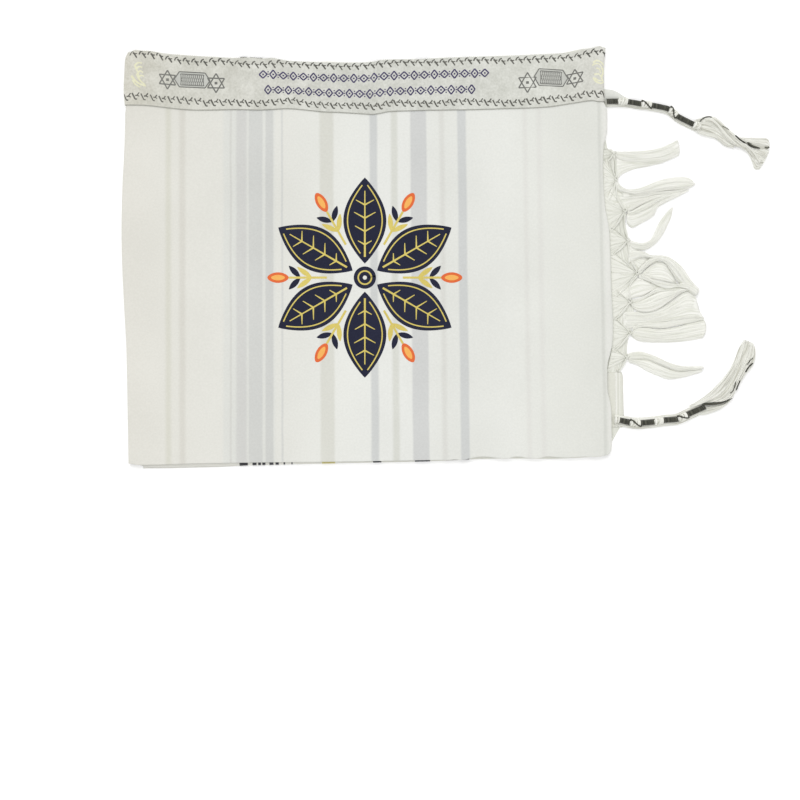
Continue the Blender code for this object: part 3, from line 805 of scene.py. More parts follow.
@dataclass(frozen=True)
class ClothFinish(Finish):
    """Matt woven cloth, with stripes across the packet."""

    tones: tuple[tuple[float, Shade], ...]
    stripes: tuple[Stripe, ...] = ()
    _: KW_ONLY
    roughness: float = 0.92
    sheen: float = 0.15
    pitch: float = 0.9
    slant: float = 0.0065
    fan: float = 0.00005
    # How strongly the weave's broad clouds lighten and darken the colour; on the neck band it paints sheen
    # blotches as well as uneven tone.
    mottle_and_sheen: float = 0.11
    cloud: float = 9.0
    span: tuple[float, float] = (-300.0, 300.0)

    def across(self, board: NodeBoard) -> Socket:
        """Gives the place across the packet in mm, which leans and wanders as the stripes do."""
        place = board.on_object()
        x, y, _ = board.parts(place)
        drift = board.maths("MULTIPLY", board.maths("SUBTRACT", board.noise(place, 14.0), 0.5), 1.8)
        lean = board.maths("MAXIMUM", board.maths("MULTIPLY_ADD", x, self.fan / MM, self.slant), 0.0)
        slanted = board.maths("MULTIPLY_ADD", board.maths("MULTIPLY", y, lean), 1.0 / MM, drift)
        return board.maths("MULTIPLY_ADD", x, 1.0 / MM, slanted)

    def paint(self, board: NodeBoard, effects: SharedEffects) -> tuple[Socket, Socket]:
        """Lays the stripes over the cloth's slow change of tone.

        Args:
            board: The material's board.
            effects: The shared shader groups.

        Returns:
            The colour and the weave's height.
        """
        across = self.across(board)
        low, high = self.span
        share = board.maths("DIVIDE", board.maths("SUBTRACT", across, low), high - low)
        ramp = board.add("ValToRGB", Fac=share)
        stops = ramp.color_ramp.elements
        for index, (where, tone) in enumerate(self.tones):
            stop = stops[index] if index < 2 else stops.new(where)
            stop.position, stop.color = where, linear_colour(tone)
        colour = ramp.outputs[0]
        for stripe in self.stripes:
            centre, half = (stripe.start + stripe.end) / 2, (stripe.end - stripe.start) / 2
            mask = board.group(
                effects.stripe, Coordinate=across, Centre=centre, Half=half,
                Soft=stripe.soft, Strength=stripe.strength,
            )
            colour = board.mix(mask["Mask"], colour, linear_colour(stripe.colour))
        weave = board.group(effects.weave, Pitch=self.pitch, Cloud=self.cloud)
        lighter, darker = (board.mix(self.mottle_and_sheen / 2, colour, (tone, tone, tone, 1.0)) for tone in (1.0, 0.0))
        return board.mix(weave["Mottle and Sheen"], lighter, darker), weave["Height"]


@dataclass(frozen=True)
class YarnFinish(Finish):
    """Plied yarn, each length a little different in tint."""

    light: Shade
    dark: Shade
    _: KW_ONLY
    ply: float = 2.6
    sheen: float = 0.2
    relief: float = 0.25

    def paint(self, board: NodeBoard, effects: SharedEffects) -> tuple[Socket, Socket]:
        """Gives each yarn its own tint."""
        yarn = board.group(effects.yarn, Ply=self.ply)
        return board.mix(yarn["Tint"], linear_colour(self.light), linear_colour(self.dark)), yarn["Height"]


@dataclass(frozen=True)
class CombedFinish(Finish):
    """Soft rayon threads lying side by side, with painted shade darkening the fine grooves between them."""

    light: Shade
    dark: Shade
    # The colour of the painted shade in the grooves between threads.
    line: Shade
    _: KW_ONLY
    width: float = 0.6
    bump: float = 0.35
    roughness: float = 0.75
    sheen: float = 0.2
    gloss: float = 0.3
    relief: float = 0.25

    def paint(self, board: NodeBoard, effects: SharedEffects) -> tuple[Socket, Socket]:
        """Paints the groove shade over each lock's own tint."""
        threads = board.group(effects.combed, Width=self.width)
        tint = board.mix(threads["Tint"], linear_colour(self.light), linear_colour(self.dark))
        return board.mix(threads["Line"], tint, linear_colour(self.line)), threads["Height"]


@dataclass(frozen=True)
class MarkFinish(Finish):
    """Ink or woven-in thread laid on cloth, with the cloth's weave showing in it."""

    colour: Shade
    worn: Shade
    _: KW_ONLY
    pitch: float = 0.9
    gloss: float = 0.3

    def paint(self, board: NodeBoard, effects: SharedEffects) -> tuple[Socket, Socket]:
        """Wears the mark unevenly with the cloth's weave."""
        weave = board.group(effects.weave, Pitch=self.pitch)
        tint = board.mix(weave["Mottle and Sheen"], linear_colour(self.colour), linear_colour(self.worn))
        return tint, weave["Height"]


@dataclass(frozen=True)
class Crease:
    """A soft ridge or trough in the front cloth. Sizes in mm, heading in degrees."""

    x: float
    y: float
    half_length: float
    half_width: float
    heading: float
    height: float

    def at(self, x: float, y: float) -> float:
        """Gives the crease's height at a point of the packet."""
        turn = math.radians(self.heading)
        along = (x - self.x) * math.cos(turn) + (y - self.y) * math.sin(turn)
        off = (y - self.y) * math.cos(turn) - (x - self.x) * math.sin(turn)
        return self.height * math.exp(-((along / self.half_length) ** 2) - (off / self.half_width) ** 2)


@dataclass(frozen=True)
class FoldedForm:
    """The form of the folded packet's front cloth, as the solids have it. Sizes in mm."""

    cloth_wall: float = 1.2
    band_wall: float = 1.0
    seam_gap: float = 0.3
    low_sheet_top: float = 1.4
    fold_top: float = 5.6
    left_turn: float = 13.0
    right_turn: float = 4.0
    band_start: float = 0.872
    nominal_left: float = -295.0
    nominal_right: float = 290.0
    nominal_half_height: float = 250.0
    loft: float = 1.5
    loft_power: int = 6
    left_edge: EdgeTable = EdgeTable(((-250, -291.4), (-200, -292.2), (-110, -294), (-60, -296.6),
        (-15, -298.8), (30, -299.8), (80, -299), (130, -296.6), (178, -295.4), (202, -297.2),
        (226, -296.4), (243, -295.2), (250, -292.2)))
    right_edge: EdgeTable = EdgeTable(((-250, 289.6), (-246, 292.6), (-240, 293.8), (-218, 293.9),
        (-197, 293.7), (-185, 292.2), (-172, 289.2), (-150, 288.6), (-137, 289.2), (-127, 291.8),
        (-112, 295), (-88, 295.7), (-52, 294.1), (-28, 293.2), (20, 291.7), (33, 290.1), (57, 285.9),
        (93, 283.6), (129, 284), (139, 286.4), (147, 288.2), (175, 288), (184, 285.6), (190, 284.9),
        (228, 284.8), (250, 286.6)))
    bottom_edge: EdgeTable = EdgeTable(((-295, -250.2), (-288, -251.4), (-265, -251.4), (-228, -250.2),
        (-180, -249.2), (-132, -248.6), (-83, -248.1), (-35, -247.6), (37, -246.4), (86, -245.6),
        (94, -246), (103, -244.9), (112, -245.9), (122, -243.8), (132, -241.8), (143, -241.7),
        (160, -243.8), (169, -244), (176, -241.7), (184, -241.7), (193, -243.4), (207, -243.7),
        (216, -241.5), (240, -242.9), (262, -241.6), (276, -242), (290, -240)))
    top_edge: EdgeTable = EdgeTable(((-295, 247.6), (-291, 249.8), (-281, 249.1), (-271, 248.6),
        (-262, 247.1), (-252, 244.4), (-242, 244.5), (-216, 242.8), (-197, 241.8), (-168, 240.3),
        (-149, 240.9), (-133, 239.8), (-120, 240.2), (-112, 239), (-100, 236.9), (-62, 235.4),
        (-13, 234.8), (6, 236.1), (16, 238.1), (64, 239), (84, 240.2), (122, 241.5), (180, 243.3),
        (228, 245.4), (248, 246.7), (256, 247.8), (266, 250.8), (276, 252.4), (285.6, 254.6), (290, 253)))
    band_low: EdgeTable = EdgeTable(((-293.5, 184.2), (-273.5, 183.7), (-253, 181.5), (-233, 179.2),
        (-213, 177.9), (-192, 177.9), (-170, 178.4), (-152, 178.4), (-134, 177.9), (-117, 178.6),
        (-97, 179.6), (-75, 177.9), (-56, 175.9), (-35, 175), (-16, 174), (4.8, 172.7), (13.3, 173.5),
        (28, 176.1), (51, 176.9), (74, 177.6), (133, 178.4), (155, 179.1), (197, 180.3), (225, 181.9),
        (246, 184.9), (260, 187.1), (277, 189.5), (284.4, 188.4)))
    low_sheet_end: EdgeTable = EdgeTable(((-241.5, 282), (-227, 292.6), (-207, 303.6), (-140, 303.6),
        (-125, 299), (-100, 296.4), (69, 292.4), (130, 289.6)))
    main_creases: tuple[Crease, ...] = (
        Crease(-205, -30, 190, 26, 88, 0.7),
        Crease(-95, 40, 170, 22, 91, -0.6),
        Crease(175, -60, 190, 24, 92, 0.8),
        Crease(245, 60, 150, 20, 90, -0.5),
        Crease(5, 150, 60, 20, 80, -0.7),
        Crease(-250, -195, 34, 20, 12, 0.6),
        Crease(60, -200, 120, 26, 96, 0.5),
    )
    small_creases: tuple[Crease, ...] = (
        Crease(-251, -192, 17, 2.4, -9, 0.55),
        Crease(-244, -196.5, 13, 2.2, -14, -0.45),
        Crease(-262, -199, 10, 2, -4, 0.25),
        Crease(3.4, 212, 30, 1.8, 88, 0.4),
        Crease(-170, 214, 30, 3, 88, 0.35),
        Crease(-144.5, 214, 30, 3, 91, -0.35),
        Crease(22, 214, 28, 3.4, 92, -0.4),
        Crease(145.7, 214, 30, 3.4, 90, 0.3),
        Crease(202, 216, 30, 3, 89, -0.3),
        Crease(6, 214, 34, 6, 84, -0.55),
        Crease(-14, 206, 24, 7, 97, 0.35),
        Crease(-150, 10, 210, 9, 89, 0.16),
        Crease(-52, -40, 190, 10, 90.5, 0.14),
        Crease(96, 20, 200, 9, 91, -0.16),
        Crease(214, -10, 210, 11, 90, 0.18),
        Crease(268, -40, 180, 6, 91, 0.2),
        Crease(-276, -20, 200, 7, 90, -0.2),
        Crease(150, 228, 60, 8, 4, 0.2),
        Crease(-190, 226, 50, 8, -6, 0.2),
    )

    @property
    def left_radius(self) -> float:
        """Outer radius of the left fold."""
        return self.fold_top / 2 + self.cloth_wall / 4

    @property
    def right_turn_mid(self) -> float:
        """Height of the cloth's middle where it turns under at the right."""
        return self.low_sheet_top + self.seam_gap + self.cloth_wall / 2

    @property
    def right_radius(self) -> float:
        """Outer radius of the right fold."""
        return (self.fold_top - self.right_turn_mid) / 2 + self.cloth_wall / 2

    def limits(self, along: float) -> tuple[float, float]:
        """Gives the left and right limits of the front cloth in a row.

        Args:
            along: Share of the way up the packet.

        Returns:
            The two x limits in mm, inset where the band wraps the cloth.
        """
        y = lerp(-self.nominal_half_height, self.nominal_half_height, along)
        inset = (self.band_wall + self.seam_gap) * smoothstep(self.band_start - 0.02, self.band_start, along)
        return self.left_edge.at(y) + inset, self.right_edge.at(y) - inset

    def row_y(self, across: float, along: float) -> float:
        """Gives the y of a point from its shares across and up the packet."""
        x = lerp(self.nominal_left, self.nominal_right, across)
        return lerp(self.bottom_edge.at(x), self.top_edge.at(x), along)

    def lift(self, x: float, y: float, across: float, along: float) -> float:
        """Gives the rise of the cloth above its height at the folds."""
        window = (1 - abs(2 * across - 1) ** self.loft_power) * (1 - abs(2 * along - 1) ** self.loft_power)
        rise = self.loft + sum(crease.at(x, y) for crease in self.main_creases)
        return rise * window + sum(crease.at(x, y) for crease in self.small_creases) * window**0.2

    def middle(self, across: float, along: float) -> Vector:
        """Gives a point of the front cloth's middle surface between the folds."""
        left, right = self.limits(along)
        x = lerp(left + self.left_radius, right - self.right_radius, across)
        y = self.row_y(across, along)
        return Vector((x, y, self.fold_top + self.lift(x, y, across, along)))

    def over(self, x: float, y: float, height: float) -> Vector:
        """Gives the point at a height above the front cloth's face.

        Args:
            x: Across the packet, in mm.
            y: Up the packet, in mm.
            height: Height over the cloth's outer face.

        Returns:
            The 3-D point in mm.
        """
        across, along = 0.5, 0.5
        for _ in range(3):
            left, right = self.limits(along)
            low, high = left + self.left_radius, right - self.right_radius
            across = min(max((x - low) / (high - low), 0.0), 1.0)
            nominal = lerp(self.nominal_left, self.nominal_right, across)
            bottom, top = self.bottom_edge.at(nominal), self.top_edge.at(nominal)
            along = min(max((y - bottom) / (top - bottom), 0.0), 1.0)
        z = self.fold_top + self.lift(x, y, across, along) + self.cloth_wall / 2 + height
        return Vector((x, y, z))

    def arc(self, start: Vector, turn_mid: float, side: float, sweep: float, steps: int) -> Row:
        """Gives points and outward directions down round a fold.

        Args:
            start: The last point of the level cloth.
            turn_mid: Height of the cloth's middle under the fold.
            side: -1 at the left fold and 1 at the right one.
            sweep: How far round the fold, in degrees.
            steps: Number of points.

        Returns:
            The points in order from the top.
        """
        radius = (self.fold_top - turn_mid) / 2
        centre = Vector((start.x, start.y, turn_mid + radius))
        points: Row = []
        for i in range(1, steps + 1):
            turn = math.radians(90.0 - sweep * i / steps)
            out = Vector((side * math.cos(turn), 0.0, math.sin(turn)))
            points.append((centre + out * radius, out))
        return points

    def band_rise(self, across: float, h: float) -> float:
        """Gives the share up the packet of a point a share of the way up the band."""
        x = lerp(self.nominal_left, self.nominal_right, across)
        bottom, top = self.bottom_edge.at(x), self.top_edge.at(x)
        return lerp((self.band_low.at(x) - bottom) / (top - bottom), 1.0, h)

    def row(
        self, share: float, columns: int, sweep: float, turned: bool, steps: int = 12, banded: bool = False
    ) -> Row:
        """Gives one row of the cloth from its left turn-under to its right one.

        Args:
            share: Share of the way up the packet, or up the band.
            columns: Cells between the folds.
            sweep: How far the cloth goes round each fold, in degrees.
            turned: Whether the turned-under lengths are included.
            steps: Points round each fold.
            banded: Whether the share is up the band, whose lower edge wanders.

        Returns:
            Points and outward directions.
        """
        top: Row = []
        for i in range(columns + 1):
            across = i / columns
            along = self.band_rise(across, share) if banded else share
            top.append((self.middle(across, along), UP))
        first, last = top[0][0], top[-1][0]
        left = self.arc(first, self.cloth_wall / 2, -1.0, sweep, steps)
        right = self.arc(last, self.right_turn_mid, 1.0, sweep, steps)
        if turned:
            for share in (0.3, 0.65, 1.0):
                x = first.x + self.left_turn * share
                left.append((Vector((x, first.y, self.cloth_wall / 2)), -UP))
                x = last.x - self.right_turn * share
                right.append((Vector((x, last.y, self.right_turn_mid)), -UP))
        return left[::-1] + top + right

    def on_band(self, s: float, h: float, height: float) -> Vector:
        """Gives a point over the band's outer face, round the folds too.

        Args:
            s: Position across the packet, which runs on round the folds.
            h: Share of the way up the band.
            height: Height over the band's face.

        Returns:
            The 3-D point in mm.
        """
        h = min(max(h, 0.0), 0.995)
        across = min(max((s - self.nominal_left) / (self.nominal_right - self.nominal_left), 0.0), 1.0)
        out = self.cloth_wall / 2 + self.seam_gap + self.band_wall + height
        for _ in range(3):
            along = self.band_rise(across, h)
            left, right = self.limits(along)
            low, high = left + self.left_radius, right - self.right_radius
            across = min(max((s - low) / (high - low), 0.0), 1.0)
        point = self.middle(across, along)
        if low <= s <= high:
            return point + UP * out
        turn_mid = self.cloth_wall / 2 if s < low else self.right_turn_mid
        side = -1.0 if s < low else 1.0
        radius = (self.fold_top - turn_mid) / 2
        past = low - s if s < low else s - high
        turn = math.radians(90.0) - min(past / (radius + out), math.radians(122.0))
        centre = Vector((point.x, point.y, turn_mid + radius))
        return centre + Vector((side * math.cos(turn), 0.0, math.sin(turn))) * (radius + out)


@dataclass
class FrontCloth:
    """The front of the shawl, with both folds, as one thin woven sheet."""

    form: FoldedForm
    columns: int = 190
    rows: int = 150
    inner: float = -0.3
    outer: float = 0.6
    edge_cell: float = 0.0012
    flat_size: tuple[float, float] = (0.495, 0.608)

    def shares(self) -> list[float]:
        """Gives the rows' shares up the packet, with close ones at its edges and the band's."""
        plain = [i / self.rows for i in range(self.rows + 1)]
        band = self.form.band_start
        close = (self.edge_cell, 1.0 - self.edge_cell, band - 0.004, band + 0.001)
        return sorted([*plain, *close])

    def build(self, finish: Material) -> Piece:
        """Args:
            finish: The cloth's material.

        Returns:
            The piece.
        """
        draft = MeshDraft()
        rows = [self.form.row(along, self.columns, 180.0, True) for along in self.shares()]
        draft.add_shell(rows, self.inner, self.outer)
        piece = draft.to_piece("front_cloth", finish, Slot.FRONT)
        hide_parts("front_panel")
        return piece


@dataclass
class NeckBand:
    """The woven neck band with its edging, sprigs, stars, panels and rows of lozenges."""

    form: FoldedForm
    columns: int = 290
    rows: int = 22
    edge_cell: float = 0.01
    sweep: float = 124.0
    flat_size: tuple[float, float] = (0.064, 0.594)
    height: float = 64.0
    loop_points: int = 900
    low_places: EdgeTable = EdgeTable(((0, -293), (7, -218), (12, -166.1), (24, -43), (36, 72.2),
        (56, 276.5), (57, 285.5)))
    low_line: EdgeTable = EdgeTable(((-293, 193.5), (-284, 194.7), (-251, 191), (-207.4, 187.9),
        (-196.7, 185.8), (-186.6, 186.7), (-166, 186.9), (-135, 185.6), (-105, 188), (-93.7, 189),
        (-74, 185.1), (-43.6, 183.2), (-3, 182.4), (4.7, 181), (14.4, 182), (24, 185.1), (33.6, 186.1),
        (73, 184.9), (113.7, 187.6), (155, 186.2), (174.6, 185.9), (207, 189.1), (247, 191.4),
        (257, 194.4), (276.5, 197.7), (286, 197)))
    high_places: EdgeTable = EdgeTable(((0, -284.8), (9, -189), (18, -96.7), (27, -6.5), (37, 90),
        (46, 181.7), (56, 283.3)))
    high_line: EdgeTable = EdgeTable(((-284.8, 245.4), (-264.4, 243.9), (-242, 239.3), (-219.6, 236.3),
        (-198.5, 235.2), (-179.6, 236.4), (-158.8, 233.7), (-138, 232.2), (-107, 233.5), (-87, 232.6),
        (-56.6, 230.8), (-26.7, 230), (1.8, 231.2), (21.7, 233.3), (40.2, 235.2), (80.2, 234.5),
        (101, 235.9), (130.6, 237.6), (151, 237.4), (161.2, 236.5), (181.7, 237.9), (223, 239.3),
        (253.4, 241.2), (263.3, 243.7), (273.8, 246.6), (283.1, 247.6)))

    def build(self, finish: Material) -> Piece:
        """Args:
            finish: The ribbon's material.

        Returns:
            The piece.
        """
        form = self.form
        start = form.cloth_wall / 2 + form.seam_gap
        plain = [i / self.rows for i in range(self.rows + 1)]
        shares = sorted([*plain, self.edge_cell, 1.0 - self.edge_cell])
        rows = [form.row(share, self.columns, self.sweep, False, banded=True) for share in shares]
        draft = MeshDraft()
        draft.add_shell(rows, start, start + form.band_wall)
        piece = draft.to_piece("neck_ribbon", finish, Slot.BAND)
        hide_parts("neck_band")
        return piece

    def spot(self, s: float, y: float, height: float) -> Vector:
        """Places a mark drawn in mm across and mm above the band's lower edge."""
        return self.form.on_band(s, y / self.height, height)

    def level(self, x: float, y: float) -> tuple[float, float]:
        """Turns a place on the packet into one on the band, in mm above its lower edge."""
        form = self.form
        low, top = form.band_low.at(x), form.top_edge.at(x)
        return x, (y - low) / (top - low) * self.height

    def mark(
        self, draft: MeshDraft, points: Sequence[tuple[float, float]], half: float,
        taper: float = 1.0, rise: float = 0.05, crown: float = 0.18, smooth: bool = False,
    ) -> None:
        """Adds one thread mark through points in band mm.

        Args:
            draft: The piece it belongs to.
            points: Points across and above the band's lower edge.
            half: Half width at the first point.
            taper: Share of that width left at the last point.
            rise: Height over the ribbon.
            crown: Extra height along the middle.
            smooth: Whether the mark curves smoothly through the points.
        """
        if smooth:
            line = SmoothLine(tuple(points))
            steps = 4 * (len(points) - 1)
            path = [line.at(i / steps) for i in range(steps + 1)]
        else:
            path = [Vector(point) for point in points]
        last = max(len(path) - 1, 1)
        halves = [half * lerp(1.0, taper, i / last) for i in range(len(path))]
        draft.add_stroke(path, halves, self.spot, rise, crown=crown)

    low_sprig: ClassVar[tuple[tuple[Points, float, float], ...]] = (
        (((-3.9, 3.4), (-1.9, -0.5), (-0.3, -3.3), (1.9, -3.6)), 0.95, 0.8),
        (((4.5, 4.2), (3.2, 2.4), (2.1, 0.7)), 0.7, 1.1),
        (((-0.1, 0.5), (2.1, 0.8), (4.7, -0.3)), 0.8, 0.8),
    )
    high_sprig: ClassVar[tuple[tuple[Points, float, float], ...]] = (
        (((-4.2, -0.4), (-2.8, 2.6), (-0.2, 3.9)), 0.85, 0.9),
        (((-0.5, 1.7), (1.6, -0.8), (3.9, -4.2)), 1, 0.8),
        (((0.2, 1), (2.2, 0.3), (4.3, 0.6)), 0.75, 0.8),
    )

    def sprigs(self, finish: Material) -> Piece:
        """Builds the two rows of leaf sprigs.

        Args:
            finish: The dark thread's material.

        Returns:
            The piece.
        """
        draft = MeshDraft()
        jitter = random.Random(11)
        for places, line, shape in (
            (self.low_places, self.low_line, self.low_sprig),
            (self.high_places, self.high_line, self.high_sprig),
        ):
            for index in range(int(places.rows[-1][0]) + 1):
                s, y = self.level(places.at(index), line.at(places.at(index)))
                s += jitter.uniform(-0.4, 0.4)
                y += jitter.uniform(-0.3, 0.3)
                size = jitter.uniform(0.94, 1.06)
                for stroke, half, taper in shape:
                    points = [(s + a * size, y + b * size) for a, b in stroke]
                    self.mark(draft, points, half * jitter.uniform(0.85, 1.15), taper, smooth=True)
        return draft.to_piece("band_sprigs", finish, Slot.BAND)

    def star(self, draft: MeshDraft, s: float, y: float, radius: float) -> None:
        """Adds a six-pointed star of two outlined triangles round a small dot.

        Args:
            draft: The piece it belongs to.
            s: Its middle across the packet.
            y: Its middle above the band's lower edge.
            radius: Reach of its points.
        """
        for start in (90.0, 270.0):
            turns = [math.radians(start + 120.0 * i) for i in range(4)]
            points = [(s + radius * math.cos(a), y + radius * math.sin(a)) for a in turns]
            for first, second in zip(points, points[1:]):
                self.mark(draft, (first, second), 0.8, crown=0.15)
        self.mark(draft, ((s - 1.7, y), (s, y), (s + 1.7, y)), 1.6, 1.0)

    def panel(self, draft: MeshDraft, s: float, y: float, half: float, tall: float, tilt: float) -> None:
        """Adds a long six-sided frame with a lattice inside.

        Args:
            draft: The piece it belongs to.
            s: Middle of the frame across the packet.
            y: Middle of the frame above the band's lower edge.
            half: Half its length.
            tall: Half its height.
            tilt: Rise of its line for each mm across.
        """
        def spot(a: float, b: float) -> tuple[float, float]:
            """Turns frame mm into band mm."""
            return s + a, y + b + a * tilt

        corners = ((-half, 0.0), (-half + 6.0, tall), (half - 6.0, tall), (half, 0.0),
                   (half - 6.0, -tall), (-half + 6.0, -tall), (-half, 0.0))
        for first, second in zip(corners, corners[1:]):
            self.mark(draft, (spot(*first), spot(*second)), 0.65, crown=0.15)
        inner, reach = half - 8.0, tall - 2.4
        for b in (reach, -reach):
            self.mark(draft, (spot(-inner, b), spot(inner, b)), 0.5)
        for side in (-1.0, 1.0):
            self.mark(draft, (spot(side * inner, reach), spot(side * inner, -reach)), 0.4)
        count = max(int(2 * inner / 2.3), 1)
        for i in range(count):
            a = lerp(-inner, inner, (i + 0.5) / count)
            for lean in (-1.0, 1.0):
                ends = (spot(a - lean * 2.0, -reach), spot(a + lean * 2.0, reach))
                self.mark(draft, ends, 0.3, crown=0.1)

    def stars_and_panels(self, finish: Material) -> Piece:
        """Builds the star, panel and star group at each end of the band.

        Args:
            finish: The grey thread's material.

        Returns:
            The piece.
        """
        draft = MeshDraft()
        for x, y, radius in self.stars:
            self.star(draft, *self.level(x, y), radius)
        for x, y, half, tall, tilt in self.panels:
            self.panel(draft, *self.level(x, y), half, tall, tilt)
        return draft.to_piece("band_stars", finish, Slot.BAND)

    def panel_grounds(self, finish: Material) -> Piece:
        """Builds the grey woven ground inside the two panels.

        Args:
            finish: The ground's material.

        Returns:
            The piece.
        """
        draft = MeshDraft()
        for x, y, half, tall, tilt in self.panels:
            s, level = self.level(x, y)
            offsets = [lerp(-half, half, i / 24) for i in range(25)]
            line = [Vector((s + a, level + a * tilt)) for a in offsets]
            draft.add_stroke(line, [tall * min((half - abs(a)) / 6.0, 1.0) for a in offsets], self.spot, 0.02)
        return draft.to_piece("band_panels", finish, Slot.BAND)

    def lozenge_rows(self, finish: Material) -> Piece:
        """Builds the two rows of lozenges and dots along the band's middle.

        Args:
            finish: The navy thread's material.

        Returns:
            The piece.
        """
        draft = MeshDraft()
        for first, last, y, phase in ((-128.0, 140.0, 44.0, 0), (-122.0, 124.0, 24.5, 1)):
            count = round((last - first) / 12.0)
            for i in range(count + 1):
                s = lerp(first, last, i / count)
                tall, wide = (5.6, 4.2) if (i + phase) % 2 else (4.8, 4.8)
                loop = ((s - wide, y), (s, y + tall), (s + wide, y), (s, y - tall), (s - wide, y))
                for start, end in zip(loop, loop[1:]):
                    self.mark(draft, (start, end), 0.85)
                self.mark(draft, ((s - 1.0, y), (s, y), (s + 1.0, y)), 1.05)
                if i < count:
                    middle = s + (last - first) / count / 2
                    for off in (-3.0, 0.0, 3.0):
                        self.mark(draft, ((middle - 0.75, y + off), (middle + 0.75, y + off)), 0.75)
        return draft.to_piece("band_lozenges", finish, Slot.BAND)

    stars: ClassVar[tuple[tuple[float, float, float], ...]] = ((-243.6, 214.2, 11.4), (-184.9, 210, 11.8),
        (191.6, 210.5, 12.2), (248.8, 214.4, 11.5))
    panels: ClassVar[tuple[tuple[float, float, float, float, float], ...]] = ((-213.7, 213.6, 21.6, 9, 0),
        (220, 215.8, 20.4, 10.2, -0.137))
    sprays: ClassVar[tuple[tuple[Points, float], ...]] = (
        (((-287.4, 219.2), (-282.6, 212.9), (-276.5, 208.8), (-269.7, 206.4)), 1.5),
        (((-280.8, 221.5), (-278.2, 215.5), (-274.8, 211.3), (-270.6, 207.9)), 1.3),
        (((-282.9, 231.7), (-281.6, 227.4), (-279.5, 223.2), (-278.2, 218.1)), 1.3),
        (((-281.5, 226.4), (-278.4, 230), (-274, 229)), 1.2),
        (((-283.4, 231), (-279.4, 234.6), (-274.4, 234.2)), 1.2),
        (((-280.1, 221.3), (-276.7, 224.9), (-273.2, 222.6)), 1.2),
        (((-279.1, 216.2), (-275.8, 219.4), (-271.9, 218)), 1.1),
        (((-286, 214), (-282.5, 208.7), (-276.5, 205)), 1.1),
        (((270.8, 233.5), (275.1, 236.1), (281.2, 235.6), (284.2, 232.2)), 1.3),
        (((270, 230.4), (274.3, 232.6), (279.5, 232.2), (282.1, 228.7)), 1),
        (((282.1, 229.7), (283.2, 223.5), (281.2, 218.3), (282.9, 213)), 1.6),
        (((275, 227.4), (279, 226.6), (279.6, 222.4)), 1),
        (((272.4, 219.6), (277.7, 220.9), (281.3, 217.6)), 1.2),
        (((271.2, 216), (274.6, 211.9), (280.3, 210.6), (284.4, 212.6)), 1.4),
        (((273.4, 215.7), (276.9, 213.6), (281.2, 214)), 1),
    )

    def end_flourishes(self, finish: Material) -> Piece:
        """Builds the gold leaf sprays near the two folds.

        Args:
            finish: The gold thread's material.

        Returns:
            The piece.
        """
        draft = MeshDraft()
        for stroke, half in self.sprays:
            self.mark(draft, [self.level(x, y) for x, y in stroke], half, 0.55, smooth=True, crown=0.1)
        return draft.to_piece("band_flourishes", finish, Slot.BAND)

    def build_edge_grey_line(self, finish: Material) -> Piece:
        """Builds a fine grey line along the band's lower edge.

        Args:
            finish: The grey line's material.

        Returns:
            The piece.
        """
        form = self.form
        draft = MeshDraft()
        path = []
        row = form.row(0.0, 220, self.sweep, False, banded=True)
        for point, out in row:
            lift = form.cloth_wall / 2 + form.seam_gap + 0.45
            path.append(point + out * lift + Vector((0.0, -0.25, 0.0)))
        draft.add_tube(path, [0.45] * len(path), 6)
        return draft.to_piece("band_edge_grey_line", finish, Slot.BAND)

    def selvage(self, finish: Material) -> Piece:
        """Builds the tiny pale loops of the band's upper edge.

        Args:
            finish: The pale thread's material.

        Returns:
            The piece.
        """
        form = self.form
        lift = form.cloth_wall / 2 + form.seam_gap + 0.7
        path = []
        for index, (point, out) in enumerate(form.row(1.0, self.loop_points, self.sweep, False, banded=True)):
            reach = 0.3 + 0.35 * math.sin(math.tau * index / 4)
            path.append(point + out * lift + Vector((0.0, reach, 0.0)))
        draft = MeshDraft()
        draft.add_tube(path, [0.24] * len(path), 4)
        return draft.to_piece("band_selvage", finish, Slot.BAND)

    def stripe_rims(self, finish: Material) -> Piece:
        """Builds the dark stripes of the sheets underneath where they peep out above the band.

        Args:
            finish: The dark cloth's material.

        Returns:
            The piece.
        """
        draft = MeshDraft()
        for start, end in ((-156.3, -147.7), (-144.0, -129.0)):
            rows: list[Row] = []
            for i in range(9):
                x = lerp(start, end, i / 8)
                y = self.form.top_edge.at(x)
                rows.append([(Vector((x, y + off, 3.0)), UP) for off in (-1.5, 0.0, 1.8)])
            draft.add_shell(rows, -0.4, 0.4)
        return draft.to_piece("upper_stripe_rims", finish, Slot.UNDER)


